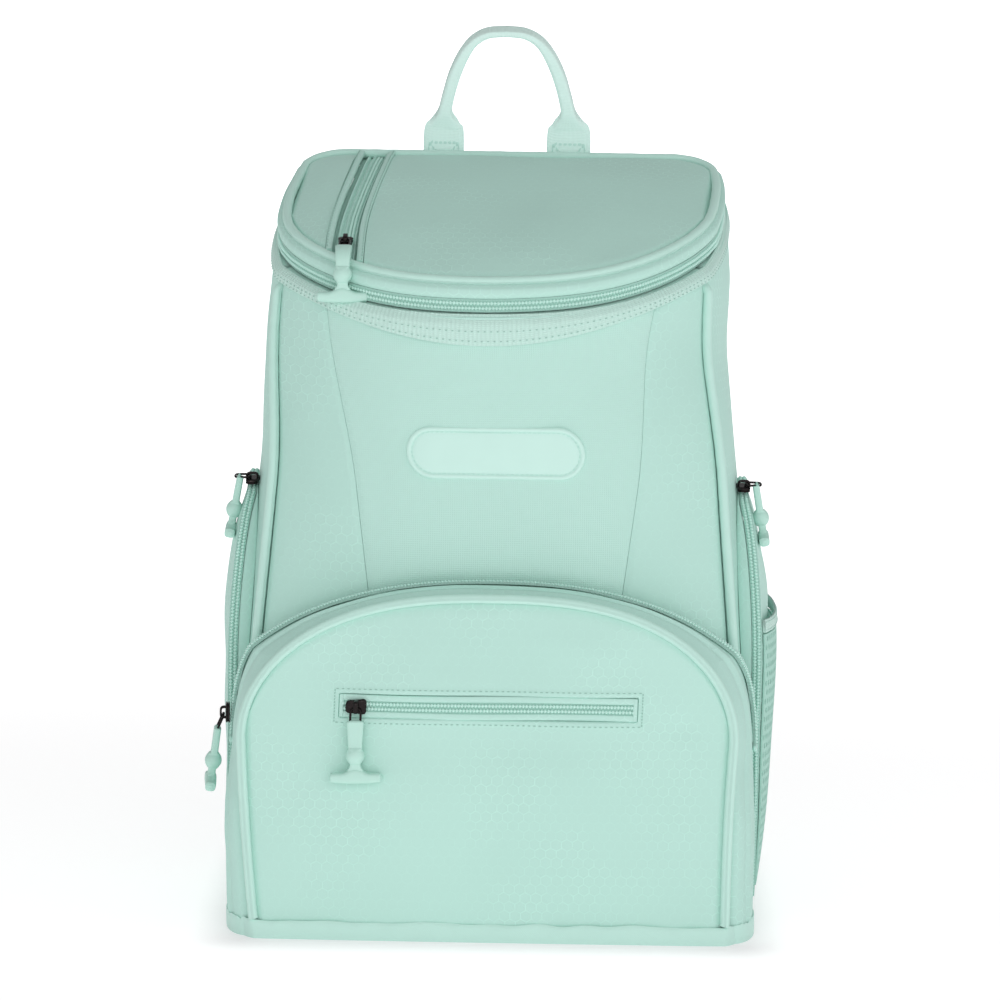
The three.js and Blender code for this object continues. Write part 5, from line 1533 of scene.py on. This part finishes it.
def strap_webbing(hand, sign):
    """The webbing: it climbs from its anchor, goes over the buckle's middle bar and hangs as a tail.

    It is swept along a route that is evened, then smoothed by a weighted mean of five near points.
    """
    behind, before = BUCKLE_Y - 3.3, BUCKLE_Y + 3.3
    low, high, under = BUCKLE_MIDDLE - 5, BUCKLE_MIDDLE + 5, BUCKLE_MIDDLE - 12
    foot, turn_z = BACK_DEPTH + GAP + 1, high - 1.4
    halfway = (ANCHOR_X + STRAP_LOW_X) / 2
    climb = [
        [ANCHOR_X, foot, 16],
        [ANCHOR_X, foot, 34],
        [halfway, (foot + behind) / 2, lerp(34, under, 0.42)],
    ]
    over = (
        (behind, under - 4), (behind, low), (behind, turn_z), (BUCKLE_Y, high + 0.2),
        (before, turn_z), (before + 0.4, low), (before + 1, under - 4), (before + 1, under - 45.0),
    )
    route = np.array(climb + [[STRAP_LOW_X, y, z] for y, z in over]) * [sign, 1, 1]
    even = evened(route, 0.8)[0]
    kernel = np.array([1, 2, 3, 2, 1.0]) / 9
    padded = np.pad(even, ((2, 2), (0, 0)), mode="edge")
    path = np.stack([np.convolve(padded[:, k], kernel, mode="valid") for k in range(3)], -1)
    wide = np.broadcast_to([1.0, 0, 0], path.shape)
    thick = unit(np.cross(unit(np.gradient(path, axis=0)), wide))
    piece = Piece(f"strap_webbing_{hand}_band").loft(sweep(path, wide, thick, rounded(16, 12.5, 0.95, 5.0)))
    square = np.array([[-10, 18], [10, 18], [10, 32], [-10, 32], [-10, 18.0]])
    line = point(sign * ANCHOR_X + square[:, 0], foot + 0.95, square[:, 1])
    stitches(piece, line, np.array([0, 1.0, 0]), 2.6, 1.8, 0.3)
    piece.build("webbing", finishes("flat_webbing", "pale_thread"), (f"strap_webbing_{hand}",))


def strap_hardware():
    """Each strap's buckle and webbing."""
    for hand, sign in HANDS:
        strap_buckle(hand, sign)
        strap_webbing(hand, sign)


# Zip sliders, wire links and T-shaped pulls
PULL_LENGTH = 34.0
PULL_BAR = 28.0
BALL = 5.0
BALL_PLACE = 19.0
STEM_SHARE = 0.82
BAR_SHARE = 0.88
LINK_HALF = 2.7
WIRE = 0.65
SLIDER_HALF = 5.5
SLIDER_LAYERS = (
    (0.3, 0.88), (0.5, 1.0), (1.0, 1.0), (1.25, 0.93), (1.5, 0.93),
    (1.8, 1.0), (2.2, 1.0), (2.55, 0.93), (2.7, 0.8),
)


def slider(name, place, first, wing, beside):
    """The slider: its outline at each layer's height and scale, and a bridge swept over an arch."""
    c, s = circle(40)
    share = bent(c, 0.5)
    half = lerp(3.3, 4.3, (share + 1) / 2) * (1 - 0.08 * np.cos(share * np.pi))
    a, b = SLIDER_HALF * share, bent(s, 0.5) * half
    rings = [place(a * scale, b * scale, 0 * a + height, first, wing) for height, scale in SLIDER_LAYERS]
    piece = Piece(f"{name}_slider_plate").loft(np.stack(rings))
    arch = np.linspace(0, 1, 30) * np.pi
    bridge = place(-3.0 * bent(np.cos(arch), 0.45), 0 * arch, 2.2 + 3.1 * np.sin(arch) ** 0.5)
    _, across, up = frames(bridge, beside)
    piece.loft(sweep(bridge, across, up, rounded(12, 0.6, 1.25, 3.0)))
    piece.build("metal", finishes("metal"), (f"{name}_slider",))


def wire_link(name, start, lay, beside, reach):
    """A wire bent to a long rounded loop, from the slider's bridge along the way that it lies."""
    c, s = circle(40)
    ring = start + np.multiply.outer(reach / 2 * (1 - bent(c, 0.45)), lay)
    ring = ring + np.multiply.outer(LINK_HALF * bent(s, 0.6), beside)
    _, across, up = frames(ring, unit(np.cross(lay, beside)), closed=True)
    rings = sweep(ring, across, up, rounded(10, WIRE, WIRE, 2.0))
    piece = Piece(f"{name}_link_wire").loft(rings, closed=True)
    piece.build("metal", finishes("metal"), (f"{name}_link",))


def pull_stem(share):
    """Half width, half thickness and squareness down the stem: a tapering shank with a ball in it."""
    down = share * PULL_LENGTH
    ball = np.sqrt(np.clip(BALL**2 - (down - BALL_PLACE) ** 2, 0, None))
    shank = lerp(lerp(4.6, 3.7, np.clip(down / 15.0, 0, 1)), 2.9, smooth((down - 15.0) / 4.0))
    shank = shank + 1.4 * bell(down - 27.0, 1.4)
    ends = np.sqrt(np.clip(share / 0.02, 0.3, 1))
    half, deep = np.maximum(shank, ball) * ends, np.maximum(lerp(1.9, 2.2, share), ball * 0.92) * ends
    return half, deep, lerp(4.5, 2.0, smooth((ball - 2.6) / 1.5))


def pull_bar(middle, down, flat, over):
    """The bar across the stem: thinner towards its ends, where its upper edge falls, and bowed below."""
    s = np.sin(np.linspace(-np.pi / 2, np.pi / 2, 50)) * PULL_BAR / 2
    low = 4.1 - 0.9 * (s / 14.0) ** 2
    top = -4.4 + 2.8 * smooth(np.abs(s) / 8.0)
    round_end = np.sqrt(np.clip((PULL_BAR / 2 - np.abs(s)) / 1.0, 0.15, 1))
    line = middle + np.multiply.outer(s, flat) + np.multiply.outer((low + top) / 2, down)
    halves = np.stack([(low - top) / 2, 2.7 + 0.35 * np.cos(s / 9)], -1) * round_end[:, None]
    ways = (np.broadcast_to(way, line.shape) for way in (down, over))
    return sweep(line, *ways, rounded(20, 1.0, 1.0, 3.0)[None] * halves[:, None])


def pull_grip(name, start, lay, hang, beside, curl):
    """The soft pull: its line turns smoothly from the link's way to the hanging one, under stem and bar."""
    share = np.linspace(0, 1, 120)
    mid = (share[1:] + share[:-1]) / 2
    way = unit(lerp(lay, hang, smooth(mid / curl)[:, None]))
    line = start + np.concatenate([np.zeros((1, 3)), np.cumsum(way * (PULL_LENGTH / 119), 0)])
    way = np.concatenate([way[:1], way])
    thick = unit(np.cross(way, beside))
    wide = unit(np.cross(thick, way))
    half, deep, flatness = pull_stem(share)
    section = np.stack([bent(v[None, :], 2 / flatness[:, None]) for v in circle(28)], -1)
    section = section * np.stack([half, deep], -1)[:, None]
    stem = share <= STEM_SHARE
    piece = Piece(f"{name}_pull_grip").loft(sweep(line[stem], wide[stem], thick[stem], section[stem]))
    k = np.searchsorted(share, BAR_SHARE)
    piece.loft(pull_bar(line[k], way[k], wide[k], thick[k]))
    piece.build("rubber", finishes("rubber"), (f"{name}_pull",))


def pull(name, at, face, run, lay, hang, reach, curl=0.01):
    """A slider on its zip, a wire link through its bridge and a pull that hangs on the link."""
    at, face, run, lay, hang = (np.asarray(v, float) for v in (at, face, run, lay, hang))
    beside = unit(np.cross(face, lay))
    along = unit(np.cross(beside, face))
    wing = unit(np.cross(face, run))

    def place(a, b, c, way=along, side=beside):
        """A point off the slider's middle by lengths along a way, beside it and away from the zip."""
        return at + np.multiply.outer(a, way) + np.multiply.outer(b, side) + np.multiply.outer(c, face)

    slider(name, place, unit(np.cross(wing, face)), wing, beside)
    start = place(0.9, 0.0, 3.65)
    wire_link(name, start, lay, beside, reach)
    pull_grip(name, start + lay * (reach - 3.0), lay, hang, beside, curl)


def pulls():
    """The six sliders, each on its own zip."""
    slope = unit(np.cross([1.0, 0, 0], [0, BACK_DEPTH - RIM_FRONT, LID_RISE]))
    y = float(edge_y(lid_zip_x(0.0))) + 11.0
    at = lid_top(lid_zip_x(y), y, -0.4)
    pull("lid_pocket", at, slope, [0, 1.0, 0], unit([0, -1, -0.24]), unit([0, -0.02, -1]), 17.5, 0.5)
    coil_top = 2.2
    at = gusset_point(0.2575, 0.74, 3 * GAP + coil_top)
    lay, hang = unit([-0.4, 0.12, -0.9]), unit([-0.13, 0.02, -1])
    pull("front_pocket", at, unit([-1, -0.1, 0]), [0, 0, 1.0], lay, hang, 11.0)
    at = face_point(9 - SLIP_HALF, SLIP_CENTRE, 0.5)
    pull("slip_pocket", at, [0, -1.0, 0], [1.0, 0, 0], unit([0, -0.06, -1]), unit([0.02, 0, -1]), 9.0)
    for hand, sign in HANDS:
        y, z = side_outline(0.45, 1.2 + 0.8 + 0.7)
        at = side_point(sign, y, z, pouch_rise(z) - SIDE_ZIP_WIDTH / 2 + 1.7)
        lay, hang = unit([sign, 0, -0.02]), unit([sign * 0.17, 0, -0.97])
        pull(f"side_pocket_{hand}", at, unit([0, -0.2, 0.98]), [0, 1.0, 0], lay, hang, 8.5)
    face = outward(-2.7, RIM)
    at = lid_point(-2.7, 3.0 - coil_top, ZIP_WIDTH / 2)
    lay, hang = (unit(face * share + [0, 0, -1]) for share in (0.3, 0.2))
    pull("main_zip", at, face, unit(np.cross(face, [0, 0, 1.0])), lay, hang, 10.0)


# Studio
def stage_plane(name, corners, finish):
    """One flat face of the studio, which isn't part of the bag."""
    mesh = bpy.data.meshes.new(name)
    mesh.from_pydata(corners, [], [(0, 1, 2, 3)])
    mesh.materials.append(finish.done())
    plane = bpy.data.objects.new(name, mesh)
    bpy.context.scene.collection.objects.link(plane)
    return plane


def floor_finish():
    """The floor glows evenly, less close to the bag's foot, which paints a contact shadow, and more far
    behind it, near the backdrop.
    """
    f = Finish("pale_floor", (0.72, 0.71, 0.72, 1.0), 0.9)
    f.set("Specular IOR Level", 0.0)
    place = f.node("ShaderNodeTexCoord", 3)
    x, y = (f.node("ShaderNodeSeparateXYZ", k, Vector=place) for k in (0, 1))
    # painted contact shadow: the glow is dimmer within a few centimetres of the bag's footprint
    beside = (x.math("ABSOLUTE") - 0.13).math("MAXIMUM", 0.0)
    before = ((y + 0.005).math("ABSOLUTE") - 0.1).math("MAXIMUM", 0.0)
    far = (beside * beside + before * before).math("SQRT").step(0.0, 0.035)
    behind = y.step(0.3, 1.5)
    glow = (0.33, 0.32, 0.325, 1.0)
    for mask, level in ((far, 0.62), (behind, 1.0)):
        brighter = (level, level, level, 1.0)
        glow = f.node("ShaderNodeMix", 2, settings={"data_type": "RGBA"}, _0=mask, _6=glow, _7=brighter)
    f.set("Emission Color", glow)
    f.set("Emission Strength", 1.0)
    return f


def area_light(name, place, size, power):
    """A rectangular light that faces a point low in the bag."""
    data = bpy.data.lights.new(name, "AREA")
    data.shape = "RECTANGLE"
    data.size, data.size_y = size
    data.energy = power
    light = bpy.data.objects.new(name, data)
    back = unit(np.array(place) - np.array([0, 0, 0.2]))
    right = unit(np.cross([0, 0, 1.0], back))
    axes = np.eye(4)
    axes[:3, :4] = np.stack([right, np.cross(back, right), back, np.array(place, float)], 1)
    light.matrix_world = Matrix(axes.tolist())
    bpy.context.scene.collection.objects.link(light)


def studio():
    """A wide pale floor, a backdrop, a broad soft light in front and weaker ones beside and above."""
    stage_plane("floor", [(-9, -6, 0), (9, -6, 0), (9, 12, 0), (-9, 12, 0)], floor_finish())
    world = bpy.data.worlds.new("studio")
    world.use_nodes = True
    world.node_tree.nodes["Background"].inputs["Color"].default_value = (1.0, 1.0, 1.0, 1.0)
    world.node_tree.nodes["Background"].inputs["Strength"].default_value = 0.42
    bpy.context.scene.world = world
    white = Finish("white_backdrop", (0.9, 0.9, 0.9, 1.0), 0.9)
    white.set("Emission Color", (1.0, 1.0, 1.0, 1.0))
    white.set("Emission Strength", 1.0)
    backdrop = stage_plane("backdrop", [(-9, 4, -1), (9, 4, -1), (9, 4, 9), (-9, 4, 9)], white)
    backdrop.visible_diffuse = backdrop.visible_glossy = False
    area_light("front_light", (0.15, -2.6, 1.1), (3.6, 1.6), 22.0)
    area_light("right_light", (2.0, -1.2, 1.2), (1.2, 1.6), 5.0)
    area_light("top_light", (0.0, 0.3, 2.4), (1.6, 1.6), 1.5)
    bpy.context.scene.view_settings.view_transform = "Standard"


body_walls()
body_piping()
pocket_face()
pocket_gusset()
pocket_piping()
pocket_zip()
slip_zip()
side_pockets()
net_pocket()
net_hem()
base()
lid_panels()
lid_zip()
lid_piping()
lid_gusset()
main_zip()
collar()
patch()
grab_handle()
strap_hardware()
pulls()
back_pad()
straps()
studio()
